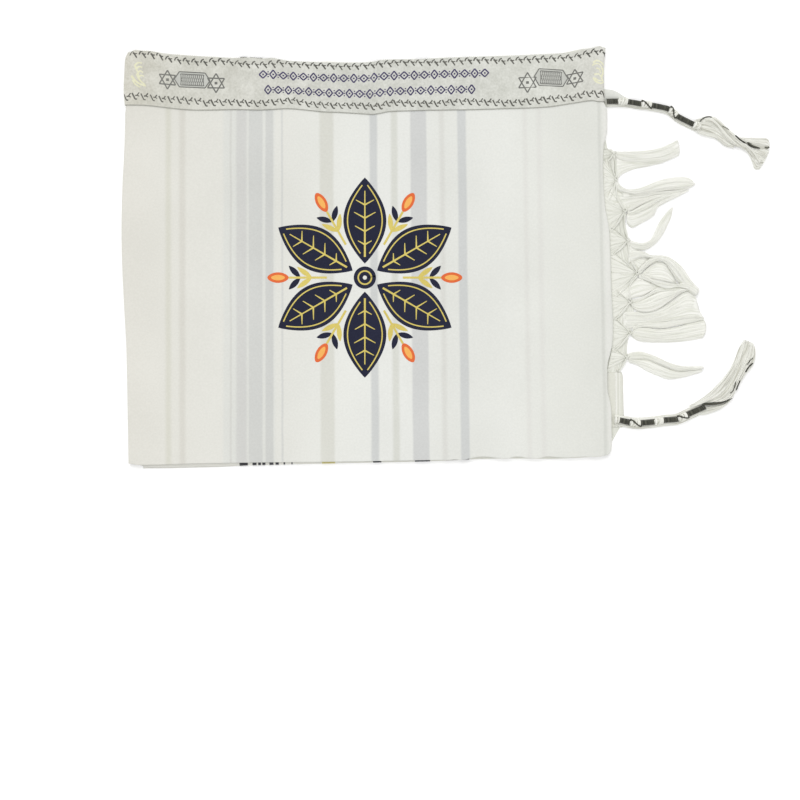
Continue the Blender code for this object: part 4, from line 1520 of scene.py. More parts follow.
@dataclass
class PetalEmblem:
    """A printed six-petal rosette with gold veins and small orange buds. Sizes in mm."""

    form: FoldedForm
    centre: tuple[float, float] = (-5.0, -25.0)
    petals: int = 6
    petal_start: float = 17.0
    petal_end: float = 121.0
    petal_half: float = 26.0
    steps: int = 34

    def spot(self, angle: float, reach: float, off: float = 0.0) -> Vector:
        """Gives a 2-D point from a direction, a reach and a sideways offset."""
        ahead = Vector((math.cos(angle), math.sin(angle)))
        side = Vector((-ahead.y, ahead.x))
        return Vector(self.centre) + ahead * reach + side * off

    def leaf(
        self, draft: MeshDraft, angle: float, start: float, end: float, half: float,
        rise: float, power: float = 0.8, turn: float = 0.0,
    ) -> None:
        """Adds a pointed leaf along a direction.

        Args:
            draft: The piece it belongs to.
            angle: Direction from the emblem's centre, in radians.
            start: Where the leaf begins.
            end: Where it ends.
            half: Its greatest half width.
            rise: Height over the cloth.
            power: How full its outline is, fuller when small.
            turn: How far it leans from the direction, in radians.
        """
        root = self.spot(angle, start)
        ahead = Vector((math.cos(angle + turn), math.sin(angle + turn)))
        line = [root + ahead * (end - start) * i / self.steps for i in range(self.steps + 1)]
        halves = [half * max(math.sin(math.pi * i / self.steps), 0.0) ** power for i in range(self.steps + 1)]
        draft.add_stroke(line, halves, self.form.over, rise)

    def line(
        self, draft: MeshDraft, points: Sequence[Vector], half: float, rise: float, taper: float = 1.0
    ) -> None:
        """Adds a printed line through points.

        Args:
            draft: The piece it belongs to.
            points: The line's middle.
            half: Half width at its start.
            rise: Height over the cloth.
            taper: Share of the width left at its end.
        """
        last = len(points) - 1
        halves = [half * lerp(1.0, taper, i / last) for i in range(last + 1)]
        draft.add_stroke(points, halves, self.form.over, rise)

    def build(self, navy: Material, gold: Material, orange: Material, pale: Material) -> list[Piece]:
        """Builds the print in its four inks.

        Args:
            navy: The dark ink.
            gold: The gold ink.
            orange: The buds' ink.
            pale: The buds' light middles.

        Returns:
            One piece for each ink.
        """
        dark, bright, buds, cores = MeshDraft(), MeshDraft(), MeshDraft(), MeshDraft()
        for k in range(self.petals):
            angle = math.radians(90.0 + 360.0 * k / self.petals)
            self.petal(dark, bright, angle)
            self.stem(dark, bright, buds, cores, angle + math.pi / self.petals)
        ring = [self.spot(math.tau * i / 48, 8.0) for i in range(51)]
        self.line(dark, ring, 5.5, 0.06)
        self.line(bright, ring, 0.9, 0.11)
        return [
            dark.to_piece("print_navy", navy, Slot.FRONT),
            bright.to_piece("print_gold", gold, Slot.FRONT),
            buds.to_piece("print_orange", orange, Slot.FRONT),
            cores.to_piece("print_pale", pale, Slot.FRONT),
        ]

    def petal(self, dark: MeshDraft, bright: MeshDraft, angle: float) -> None:
        """Adds one petal, its gold outline, midrib and veins.

        Args:
            dark: The navy print.
            bright: The gold print.
            angle: Direction of the petal, in radians.
        """
        start, end, half = self.petal_start, self.petal_end, self.petal_half
        self.leaf(dark, angle, start, end, half, 0.06, power=0.9)
        for side in (-1.0, 1.0):
            edge = []
            for i in range(4, self.steps - 2):
                share = i / self.steps
                width = half * math.sin(math.pi * share) ** 0.9 - 5.0
                edge.append(self.spot(angle, lerp(start, end, share), side * max(width, 0.0)))
            self.line(bright, edge, 0.75, 0.11)
            for reach in (40.0, 56.0, 72.0, 88.0):
                size = 13.0 * math.sin(math.pi * (reach - start) / (end - start))
                vein = [self.spot(angle, reach + size * 0.55 * i / 6, side * size * i / 6) for i in range(7)]
                self.line(bright, vein, 1.0, 0.11, 0.45)
        rib = [self.spot(angle, lerp(start + 8.0, end - 16.0, i / 20)) for i in range(21)]
        self.line(bright, rib, 1.2, 0.115, 0.5)

    def stem(
        self, dark: MeshDraft, bright: MeshDraft, buds: MeshDraft, cores: MeshDraft, angle: float
    ) -> None:
        """Adds the gold stem, leaves and bud between two petals.

        Args:
            dark: The navy print.
            bright: The gold print.
            buds: The orange print.
            cores: The buds' light middles.
            angle: Direction of the stem, in radians.
        """
        self.line(bright, [self.spot(angle, lerp(46.0, 92.0, i / 10)) for i in range(11)], 1.3, 0.11)
        for side in (-1.0, 1.0):
            self.leaf(bright, angle, 64.0, 86.0, 3.0, 0.1, turn=side * 0.62)
            self.leaf(dark, angle, 78.0, 98.0, 3.4, 0.08, turn=side * 0.8)
        self.leaf(buds, angle, 92.0, 118.0, 6.4, 0.1, power=0.55)
        self.leaf(cores, angle, 96.5, 113.5, 3.3, 0.15, power=0.55)


@dataclass(frozen=True)
class NetKnot:
    """A knot of the fringe, and the stretches of the cloth's end that its threads come from."""

    x: float
    y: float
    spans: Points


@dataclass
class EndFringe:
    """The knotted fringe of the shawl's end, lock by lock. Sizes in mm."""

    form: FoldedForm
    cord: float = 0.8
    locks: tuple[Lock, ...] = (
        Lock(
            ((295.4, 128.9), (304.9, 128.2), (323.4, 128.5), (341.9, 130.4), (358.6, 135), (375, 143)),
            ((298.3, 121.4), (307.7, 116.8), (325.3, 114.9), (341.9, 114), (358.2, 115.5), (377.4, 124)),
            1, 3.6, threads=20, fray=1.6, depth=0.45),
        Lock(
            ((299.6, 122), (305, 119.6), (314, 117.8), (332.7, 115.4), (356, 115.4)),
            ((300.6, 93.5), (306.5, 100.2), (321.6, 106.9), (337.3, 110.1), (357, 114.6)),
            0.3, 2.4, root=1, threads=12),
        Lock(
            ((299.6, 95), (304.6, 87.8), (312.3, 82.8), (323.4, 82.8), (334.5, 86), (349.4, 92.1),
             (366, 96.2), (385.5, 97), (395.7, 89.3)),
            ((297.6, 88), (302, 80), (310.4, 77.7), (323.4, 74.9), (336.4, 76.8), (351.2, 79.6),
             (366, 81.4), (383.6, 82.3), (395.2, 88.1)),
            1.4, 4.2, threads=14),
        Lock(
            ((306.5, 80.6), (323.4, 75.8), (340.1, 78.6), (355.8, 80.5), (374.4, 81.4), (386.4, 84.2),
             (394.8, 88.8)),
            ((307.7, 72.1), (323.4, 73.1), (340.1, 74.9), (355.8, 76.8), (369.7, 78.2), (379.9, 80),
             (393.4, 86.8)),
            0.4, 2.6, threads=6),
        Lock(
            ((296, 88), (302.9, 80.8), (314.1, 76.9), (325.3, 74), (340.1, 75.8), (353.1, 77.7)),
            ((287.3, 68), (297.5, 66.1), (312.3, 69.4), (329, 72.1), (341.9, 74.9), (354, 76.8)),
            0.3, 2.2),
        Lock(
            ((292, 69), (300, 69), (312, 71.5), (329, 74), (345, 76.4)),
            ((300, 62), (306.5, 56.5), (315, 59.5), (327, 66.5), (346, 74.8)),
            0.3, 1.7, root=0.9, fray=0, bow=0),
        Lock(
            ((310.9, 57.8), (316, 62.9), (325.3, 67.5), (336.4, 72.1), (345.7, 75.4), (356.8, 76.8),
             (373.4, 79.6)),
            ((311.8, 54.5), (317.9, 56.4), (329, 62.9), (340.1, 67.5), (351.2, 71.2), (360.5, 73.8),
             (374.4, 77.2)),
            0.6, 2.8),
        Lock(
            ((312.8, 55.5), (319.7, 57.3), (332.7, 64.7), (345.7, 70.3), (356.8, 74.9), (366, 76.8),
             (375.3, 79.6)),
            ((314.1, 50.8), (321.6, 50.8), (334.5, 56.4), (347.5, 64.7), (358.6, 70.3), (367.9, 73.5),
             (378.1, 77.5)),
            1, 3.2),
        Lock(
            ((311.8, 52.7), (317.9, 53.1), (329, 55.5), (341.9, 61.9), (354, 70.3), (366, 74.9),
             (378.1, 79.6), (388.3, 82.3)),
            ((312.8, 41.1), (318.8, 35.5), (329, 40.6), (344.7, 49.9), (348.9, 59.6), (358.6, 65.7),
             (373.4, 72.9), (387.3, 80.5)),
            0.3, 3.6, threads=14),
        Lock(
            ((312.8, 20.7), (317.9, 20.3), (329, 17.7), (338.2, 19.5), (343.8, 25.8), (350.3, 39.7),
             (357.7, 50.8), (367.1, 61)),
            ((313.4, 17), (320.6, 10.5), (334.5, 9), (347.5, 16.7), (356.8, 28.6), (362.5, 39.7),
             (366.2, 48), (368.6, 60.1)),
            0.3, 4),
        Lock(
            ((314, 17), (322, 11), (332, 6.6), (342, 2.4)),
            ((317, -4), (323, -12), (329, -16), (337, -9)),
            0.3, 2, root=1, threads=6, fray=0),
        Lock(
            ((328.9, -21.6), (337.6, -11.8), (346.2, -5.4), (357, -6.4), (365.7, -17.2), (373.2, -31.3)),
            ((330, -23.2), (339.8, -25.9), (350.6, -28), (361.4, -30.2), (368.9, -32.4), (374.3, -34.5)),
            0.3, 1.8),
        Lock(
            ((314.4, 5.4), (323.5, 8.1), (333.3, 6.5), (341.9, 2.2), (361.4, 1.1), (378.6, -10.8),
             (391.6, -29.1), (401.4, -38.4)),
            ((313.8, -8.6), (320.3, -4.3), (331.1, -0.5), (344.1, -1.6), (357, -5.9), (366.8, -19.4),
             (376.5, -32.4), (396.5, -48.6)),
            2, 4.2, threads=16),
        Lock(
            ((324.6, -16.7), (331.1, -9.7), (341.9, -0.5), (350.6, 1.3), (362.4, -2.7), (368.9, -11.8)),
            ((328.1, -21.8), (335.4, -12.9), (344.1, -6.7), (352.7, -4.1), (359.7, -8.4), (364.1, -16.2)),
            3, 3.2),
        Lock(
            ((325.9, -19.9), (335.4, -22.6), (346.2, -28), (359.2, -30.2), (371.1, -32.4), (385.1, -31.3),
             (398.1, -37.8)),
            ((327.4, -25.3), (337.6, -29.1), (350.6, -35.4), (362.4, -38.8), (374.3, -36.5),
             (387.3, -40.1), (397.2, -48)),
            3.6, 3),
        Lock(
            ((300.9, -42.1), (312.7, -31.3), (324.6, -24.8), (335.4, -27), (346.2, -33.4), (356, -35.6)),
            ((314.4, -51.3), (323.5, -48.6), (333.3, -46.4), (341.9, -41.6), (350.6, -37.2),
             (356.5, -36.9)),
            0.3, 2.6),
        Lock(
            ((307.3, -65.9), (320.3, -65.9), (341.9, -64.8), (359.2, -57.2), (374.3, -46.4),
             (385.1, -39.9), (396.5, -47.5)),
            ((308.4, -86), (322.5, -85), (341.9, -82.5), (359.2, -80), (374.3, -77.4), (390.5, -75),
             (406.8, -74)),
            0.3, 2.4, threads=26, fray=1.2, bow=0, hollow=0.05),
        Lock(
            ((316.5, -51.6), (326.8, -49.1), (337.6, -44.3), (350.6, -35.6), (363.5, -38.3),
             (374.3, -35.6), (383.5, -36.9)),
            ((317.3, -56.4), (328.9, -54.2), (337.6, -49.1), (348.4, -43.7), (361.4, -41.6),
             (372.2, -40.5), (383.5, -40.1)),
            1.8, 2.6),
        Lock(
            ((317.1, -55.1), (328.9, -52.9), (341.9, -46.4), (354.9, -41.2), (368.9, -39.9),
             (378.6, -37.8), (385.1, -39.1)),
            ((318.4, -59.6), (324.6, -65), (338.7, -66.5), (352.7, -61.5), (367.8, -50.7), (376.5, -44.3),
             (386.4, -40.1)),
            2.2, 3.8, threads=14),
        Lock(
            ((318.7, -85.8), (328.9, -80.8), (341.9, -79.4), (359.2, -78.3), (374.3, -76.1),
             (390.5, -74.1), (405.7, -73.4)),
            ((319.8, -88.8), (331.1, -84.9), (352.7, -86.4), (363.5, -84.9), (374.3, -82.6),
             (390.5, -79.5), (406.7, -75.1)),
            1.8, 2.2, threads=7),
        Lock(
            ((318.1, -90.5), (325.7, -85.5), (337.6, -84.8), (352.7, -86.8), (374.3, -83.7),
             (390.5, -78.8), (409.3, -75.3)),
            ((318, -94.5), (321, -98.2), (329, -102.2), (348, -103.4), (369, -103), (389.6, -101),
             (407.6, -97.5)),
            0.5, 4, threads=18, fray=1.6, bow=0.04),
        Lock(
            ((313.3, -117.2), (320.3, -115), (331.1, -114.7), (347.3, -119.9), (363.5, -127.4),
             (380.8, -131.8), (405.7, -132)),
            ((313.8, -124.2), (322.5, -124.4), (335.4, -124.7), (350.6, -129.8), (363.5, -135),
             (376.5, -138.2), (406.2, -135.6)),
            1.2, 3.4),
        Lock(
            ((314.4, -123.1), (325.7, -124), (337.6, -124.4), (352.7, -130.7), (366.8, -136.1),
             (380.8, -138.2), (406.2, -135.5)),
            ((315.1, -127.4), (324.6, -130.7), (337.6, -138.2), (352.7, -144.7), (363.5, -148),
             (378.6, -146.3), (401.3, -140.4)),
            0.3, 3.2),
    )
    gauze: tuple[tuple[Points, Points], ...] = (
        (((289.6, 131), (290, 119), (290.6, 108), (291, 95)), ((294.5, 131), (299.4, 121), (299.4, 108),
         (299.4, 94))),
        (((290.8, 97), (290.4, 84), (290.2, 63)), ((299.4, 95), (301, 82), (309, 60))),
        (((290, 64.7), (291, 47.1), (293.8, 33.2), (299.3, 19.3)), ((309.5, 61), (309.5, 48),
         (311.4, 33.2), (313.2, 20.3))),
        (((294.4, 20.6), (295.5, -1), (297.6, -22.6), (297.6, -39.9)), ((313.8, 18.4), (320, 6.4),
         (326, -9.8), (325.7, -21))),
        (((297.1, -55.1), (297.6, -71.3), (298.7, -82.1), (299.8, -92.9)), ((318, -55.2), (321.5, -64),
         (317.4, -78), (318.6, -90.5))),
        (((298.1, -98.3), (298.7, -109.1), (293.3, -128.5)), ((314.8, -98.3), (313.1, -108),
         (313.2, -121.1))),
        (((290, -124), (290, -132), (290, -140.5)), ((313, -121.8), (308.5, -129.5), (304, -140.5))),
    )
    knots: tuple[NetKnot, ...] = (
        NetKnot(296.5, 126.5, ((131, 116),)),
        NetKnot(299.5, 94, ((119.8, 96.8), (96.8, 69))),
        NetKnot(310, 55.5, ((81, 54.4), (54.4, 30.3))),
        NetKnot(314, 20.5, ((37.5, 18.2), (18.2, 1.2))),
        NetKnot(325, -19.8, ((8.5, -23), (-23, -52))),
        NetKnot(316.4, -54.4, ((-35, -54.5), (-54.5, -78.7))),
        NetKnot(316.4, -92, ((-71, -93), (-93, -115))),
        NetKnot(312.6, -121.4, ((-110, -122), (-122, -139))),
    )
    links: tuple[Points, ...] = (((296.5, 124), (299.3, 112), (299.6, 96)), ((299.5, 92), (301, 74),
        (309.4, 57.5)), ((310, 53.5), (309.6, 38), (313.4, 22.5)), ((314, 18.5), (316, 2),
        (324.4, -17.8)), ((324.4, -22), (316, -36), (316.2, -52.4)))
    strip_low: float = -139.0
    strip_high: float = 131.0
    strip_width: float = 4.0

    def end_x(self, y: float) -> float:
        """Gives where the lowest sheet ends."""
        return self.form.low_sheet_end.at(y)

    def web(self, knot: NetKnot) -> Lock:
        """Makes the thin web of threads from the cloth's end to a knot.

        Args:
            knot: The knot it runs to.

        Returns:
            The web as a flat lock.
        """
        high, low = knot.spans[0][0], knot.spans[-1][1]
        half = 1.5
        edges = []
        for y, end in ((high, knot.y + half), (low, knot.y - half)):
            root = Vector((self.form.right_edge.at(y) - 0.6, y))
            tip = Vector((knot.x, end))
            bow = 0.12 * (knot.y - y)
            middle = root.lerp(tip, 0.5) + Vector((0.0, -bow * 0.4))
            edges.append((tuple(root), tuple(root.lerp(middle, 0.6)), tuple(middle), tuple(tip)))
        return Lock(edges[0], edges[1], 0.9, 1.7, root=0.6, tip=1.0, lift=1.7, spacing=5.0, depth=0.2,
                    threads=9, fray=0.0, bow=0.0)

    def add_cord(self, draft: ThreadDraft, path: Sequence[Vector], radius: float) -> None:
        """Adds a cord of two threads twisted loosely round each other.

        Args:
            draft: The piece it belongs to.
            path: The cord's root, middle and tip.
            radius: Each thread's radius.
        """
        line = SmoothLine(tuple((point.x, point.y) for point in path))
        heights = SmoothLine(tuple((point.z, 0.0) for point in path))
        for phase in (0.0, math.pi):
            points = []
            for i in range(17):
                share = i / 16
                turn = phase + 5.0 * share
                spot = line.at(share) + line.side(share) * radius * 0.8 * math.cos(turn)
                z = heights.at(share).x + radius * 0.6 * math.sin(turn)
                points.append(Vector((spot.x, spot.y, max(z, radius + 0.2))))
            draft.add_thread(points, [radius] * 17, 6)

    def add_knot(self, draft: ThreadDraft, knot: NetKnot) -> None:
        """Adds the small loops of a knot and the cords at the edges of its webs.

        Args:
            draft: The piece they belong to.
            knot: The knot.
        """
        centre = Vector((knot.x, knot.y, 3.0))
        for offset, radius, lean in ((-0.8, 1.6, 0.7), (0.9, 1.9, -0.5)):
            ahead = Vector((1.0, lean, 0.0)).normalized()
            side = Vector((-ahead.y, ahead.x, 0.0))
            ring = []
            for i in range(14):
                turn = math.tau * i / 14
                out = side * math.cos(turn) + UP * math.sin(turn)
                ring.append(centre + Vector((offset, 0.0, 0.0)) + out * radius)
            draft.add_thread(ring, [0.85] * 14, 6, closed=True)
        for y in (knot.spans[-1][1], knot.spans[0][0]):
            root = Vector((self.end_x(y) - 0.5, y, 1.5))
            tip = Vector((knot.x, knot.y, 3.2))
            middle = root.lerp(tip, 0.5) + Vector((0.0, -0.06 * (knot.y - y), 0.2))
            self.add_cord(draft, (root, middle, tip), self.cord * (0.9 if y < knot.y else 0.5))

    def net(self, finish: Material) -> Piece:
        """Builds the knotted net of thin webs between the cloth's end and the locks.

        Args:
            finish: The net's material.

        Returns:
            The piece.
        """
        draft = ThreadDraft()
        draw = random.Random(5)
        for upper, lower in self.gauze:
            web = Lock(lower, upper, 0.3, 1.3, root=1.0, tip=1.0, lift=0.3, spacing=5.0, depth=0.2, threads=6,
                       fray=0.0, bow=0.0)
            draft.add_lock(web, draw, 20)
        for knot in self.knots:
            draft.add_lock(self.web(knot), draw, 16)
            self.add_knot(draft, knot)
        for link in self.links:
            self.add_cord(draft, [Vector((x, y, 2.6)) for x, y in link], self.cord * 1.1)
        piece = draft.to_piece("fringe_net", finish, Slot.FRINGE)
        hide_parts("end_fringe")
        return piece

    def build(self, finish: Material) -> Piece:
        """Builds the fringe's soft locks as one piece.

        Args:
            finish: The thread's material.

        Returns:
            The piece.
        """
        draft = ThreadDraft()
        draw = random.Random(6)
        for lock in self.locks:
            draft.add_lock(lock, draw)
        piece = draft.to_piece("fringe_locks", finish, Slot.FRINGE)
        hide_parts("end_fringe")
        return piece

    def hem(self, finish: Material) -> Piece:
        """Builds the last few millimetres of the lowest sheet, which the fringe leaves from.

        Args:
            finish: The cloth's material.

        Returns:
            The piece.
        """
        rows: list[Row] = []
        for i in range(61):
            y = lerp(self.strip_low, self.strip_high, i / 60)
            x = self.end_x(y)
            rows.append([(Vector((x - self.strip_width * (1 - k / 4), y, 0.8)), UP) for k in range(5)])
        draft = MeshDraft()
        draft.add_shell(rows, -0.6, 0.6)
        piece = draft.to_piece("end_hem", finish, Slot.FRINGE)
        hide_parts("end_fringe")
        return piece


@dataclass
class CornerPatch:
    """The small sewn patch at the lowest sheet's corner, where the tassel leaves. Sizes in mm."""

    low: float = -206.0
    high: float = -139.5
    inner_edge: float = 286.8
    level: float = 1.72
    half_wall: float = 0.25
    stitch_x: float = 298.9
    stitch: float = 2.6
    stitch_pitch: float = 3.8
    end: EdgeTable = EdgeTable(((-206, 307.2), (-201, 308.8), (-180, 308.6), (-160, 308.1), (-146, 308),
        (-139.5, 306.6)))

    def height(self, x: float, end: float) -> float:
        """Gives the patch's height, which drops over the sheet's end to the floor."""
        return lerp(self.level, 0.5, smoothstep(end - 4.6, end, x))

    def build(self, finish: Material) -> Piece:
        """Args:
            finish: The cloth's material.

        Returns:
            The piece.
        """
        rows: list[Row] = []
        for j in range(41):
            y = lerp(self.low, self.high, j / 40)
            end = self.end.at(y)
            row = []
            for i in range(17):
                x = lerp(self.inner_edge, end, i / 16)
                bulge = 0.25 * math.exp(-(((x - self.stitch_x - 3.2) / 1.6) ** 2))
                row.append((Vector((x, y, self.height(x, end) + bulge)), UP))
            rows.append(row)
        draft = MeshDraft()
        draft.add_shell(rows, -self.half_wall, self.half_wall)
        piece = draft.to_piece("corner_patch", finish, Slot.UNDER)
        width = (self.end.at(-180.0) - self.inner_edge + 0.6) * MM
        return piece

    def stitches(self, finish: Material) -> Piece:
        """Builds the line of stitches that holds the patch.

        Args:
            finish: The stitching thread's material.

        Returns:
            The piece.
        """
        draft = MeshDraft()
        count = int((self.high - self.low - 4.0) / self.stitch_pitch)
        top = self.level + self.half_wall
        for i in range(count):
            y = self.low + 3.0 + i * self.stitch_pitch
            path = []
            for k in range(5):
                share = k / 4
                z = top + 0.32 * math.sin(math.pi * share) - 0.1
                path.append(Vector((self.stitch_x, y + self.stitch * share, z)))
            draft.add_tube(path, [0.3] * 5, 6)
        return draft.to_piece("patch_stitches", finish, Slot.UNDER)


@dataclass(frozen=True)
class Section:
    """One stretch of a corner tassel's shank."""

    kind: SectionKind
    length: float


def sections(*pairs: tuple[str, float]) -> tuple[Section, ...]:
    """Makes a shank's stretches from their kinds and lengths."""
    return tuple(Section(SectionKind(kind), length) for kind, length in pairs)


@dataclass(frozen=True)
class DarkThread:
    """A dark thread that shows on a bundle. Points and radius in mm."""

    path: Points
    radius: float = 0.6
    count: int = 1


@dataclass
class CornerTassel:
    """A corner tassel: a wound and knotted shank and its bundle of threads. Sizes in mm."""

    name: str
    node: str
    slot: Slot
    shank: SmoothLine
    stretches: tuple[Section, ...]
    bundle: tuple[Lock, ...]
    dark: tuple[DarkThread, ...]
    beside: Points
    crossed: tuple[int, ...]
    seed: int
    loop_slant: float = 2.6
    lift: float = 4.7
    root_lift: float = 5.9
    root_share: float = 0.28
    core: float = 2.4
    wound: float = 2.7
    thread: float = 0.74
    pitch: float = 1.3

    def middle(self, share: float) -> Vector:
        """Gives a point on the shank's middle line."""
        flat = self.shank.at(share)
        lift = lerp(self.root_lift, self.lift, min(share / self.root_share, 1.0))
        return Vector((flat.x, flat.y, lift))

    def around(self, share: float, turn: float, radius: float) -> Vector:
        """Gives a point round the shank."""
        side = self.shank.side(share)
        out = Vector((side.x, side.y, 0.0)) * math.cos(turn) + UP * math.sin(turn)
        return self.middle(share) + out * radius

    def spans(self) -> list[tuple[SectionKind, float, float, float]]:
        """Gives each stretch's kind, start share, end share and length.

        Returns:
            The stretches in order along the shank.
        """
        total = sum(stretch.length for stretch in self.stretches)
        found = []
        start = 0.0
        for stretch in self.stretches:
            end = start + stretch.length
            found.append((stretch.kind, start / total, end / total, stretch.length))
            start = end
        return found

    def dark_threads(self, pale: ThreadDraft) -> MeshDraft:
        """Builds the windings, the threads across the knots and those on the bundle.

        Args:
            pale: The bundle that the dark threads lie on.

        Returns:
            The dark mesh.
        """
        draft = MeshDraft()
        knot_index = 0
        for kind, start, end, length in self.spans():
            if kind is SectionKind.WOUND:
                turns = round(length / self.pitch)
                for turn in range(turns):
                    low, high = lerp(start, end, turn / turns), lerp(start, end, (turn + 1) / turns)
                    places = [(lerp(low, high, i / 12), math.tau * i / 12) for i in range(13)]
                    path = [self.around(place, angle, self.wound) for place, angle in places]
                    draft.add_tube(path, [self.thread] * len(path), 5, turn)
                continue
            knot_index += 1
            if knot_index in self.crossed:
                path = []
                for i in range(25):
                    turn = math.tau * (0.03 + i / 24 * 0.44)
                    place = lerp(start - 0.002, end + 0.002, i / 24)
                    path.append(self.around(place, turn, self.wound + 1.25))
                draft.add_tube(path, [self.thread * 1.45] * len(path), 6)
        for tag, thread in enumerate(self.dark):
            line = SmoothLine(thread.path)
            for index in range(thread.count):
                off = (index - (thread.count - 1) / 2) * thread.radius * 1.7
                path = []
                for i in range(15):
                    share = i / 14
                    spot = line.at(share) + line.side(share) * off * math.sin(math.pi * min(share + 0.2, 1.0))
                    dip = -1.4 * (1.0 - min(share / 0.12, (1.0 - share) / 0.12, 1.0))
                    z = pale.top_near(spot.x, spot.y) + 0.15 + dip
                    path.append(raised(Vector((spot.x, spot.y, z)), thread.radius + FLOOR_GAP))
                radii = [thread.radius * min(0.35 + i / 3, 0.35 + (14 - i) / 3, 1.0) for i in range(15)]
                draft.add_tube(path, radii, 6, tag + index)
        return draft

    def side_lock(self, inner: float, outer: float) -> Lock:
        """Makes the lock of pale threads that runs along one side of the windings.

        Args:
            inner: Its edge near the shank's middle line.
            outer: Its edge away from it.

        Returns:
            The lock.
        """
        edges = []
        for off in (max(inner, outer), min(inner, outer)):
            shares = [i / 9 for i in range(10)]
            line = [self.shank.at(share) + self.shank.side(share) * off for share in shares]
            edges.append(tuple(tuple(point) for point in line))
        return Lock(
            edges[0], edges[1], 0.4, 3.6, root=1.0, tip=1.0, lift=1.4, spacing=1.9, depth=0.4, threads=5
        )

    def pale_threads(self) -> ThreadDraft:
        """Builds the core, the knots, the locks beside the windings and the bundle.

        Returns:
            The pale mesh.
        """
        draft = ThreadDraft(thread=0.5)
        draw = random.Random(self.seed)
        path = [self.middle(i / 40) for i in range(41)]
        draft.add_thread(path, [self.core] * 41, 8)
        for inner, outer in self.beside:
            draft.add_lock(self.side_lock(inner, outer), draw, 44)
        for kind, start, end, length in self.spans():
            if kind is SectionKind.KNOT:
                self.add_knot(draft, start, end, length, draw)
        for lock in self.bundle:
            draft.add_lock(lock, draw, 36)
        return draft

    def add_knot(
        self, draft: ThreadDraft, start: float, end: float, length: float, draw: random.Random
    ) -> None:
        """Adds the thick loops of one knot.

        Args:
            draft: The piece they belong to.
            start: Share along the shank where the knot starts.
            end: Share where it ends.
            length: The knot's length.
            draw: Source of the small differences between loops.
        """
        loops = max(round(length / 3.0), 2)
        total = sum(stretch.length for stretch in self.stretches)
        for k in range(loops):
            place = lerp(start, end, (k + 0.6) / (loops + 0.2))
            size = 2.8 + 0.5 * math.sin(math.pi * (k + 0.5) / loops)
            inner = loops > 2 and 0 < k < loops - 1
            tilt = draw.uniform(0.7, 1.0) * self.loop_slant / total * (1.0 if inner else 0.25)
            ring = []
            for i in range(18):
                turn = math.tau * i / 18
                ring.append(self.around(place + tilt * math.sin(turn + 0.6), turn, size))
            draft.add_thread(ring, [1.32] * 18, 8, closed=True, spread=6.0)

    def build(self, pale: Material, dark: Material) -> list[Piece]:
        """Builds the tassel's pale and dark pieces.

        Args:
            pale: Material of the white thread.
            dark: Material of the winding thread.

        Returns:
            The two pieces.
        """
        threads = self.pale_threads()
        light_piece = threads.to_piece(f"{self.name}_threads", pale, self.slot)
        dark_piece = self.dark_threads(threads).to_piece(f"{self.name}_winding", dark, self.slot)
        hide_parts(self.node)
        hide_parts(self.node)
        return [light_piece, dark_piece]


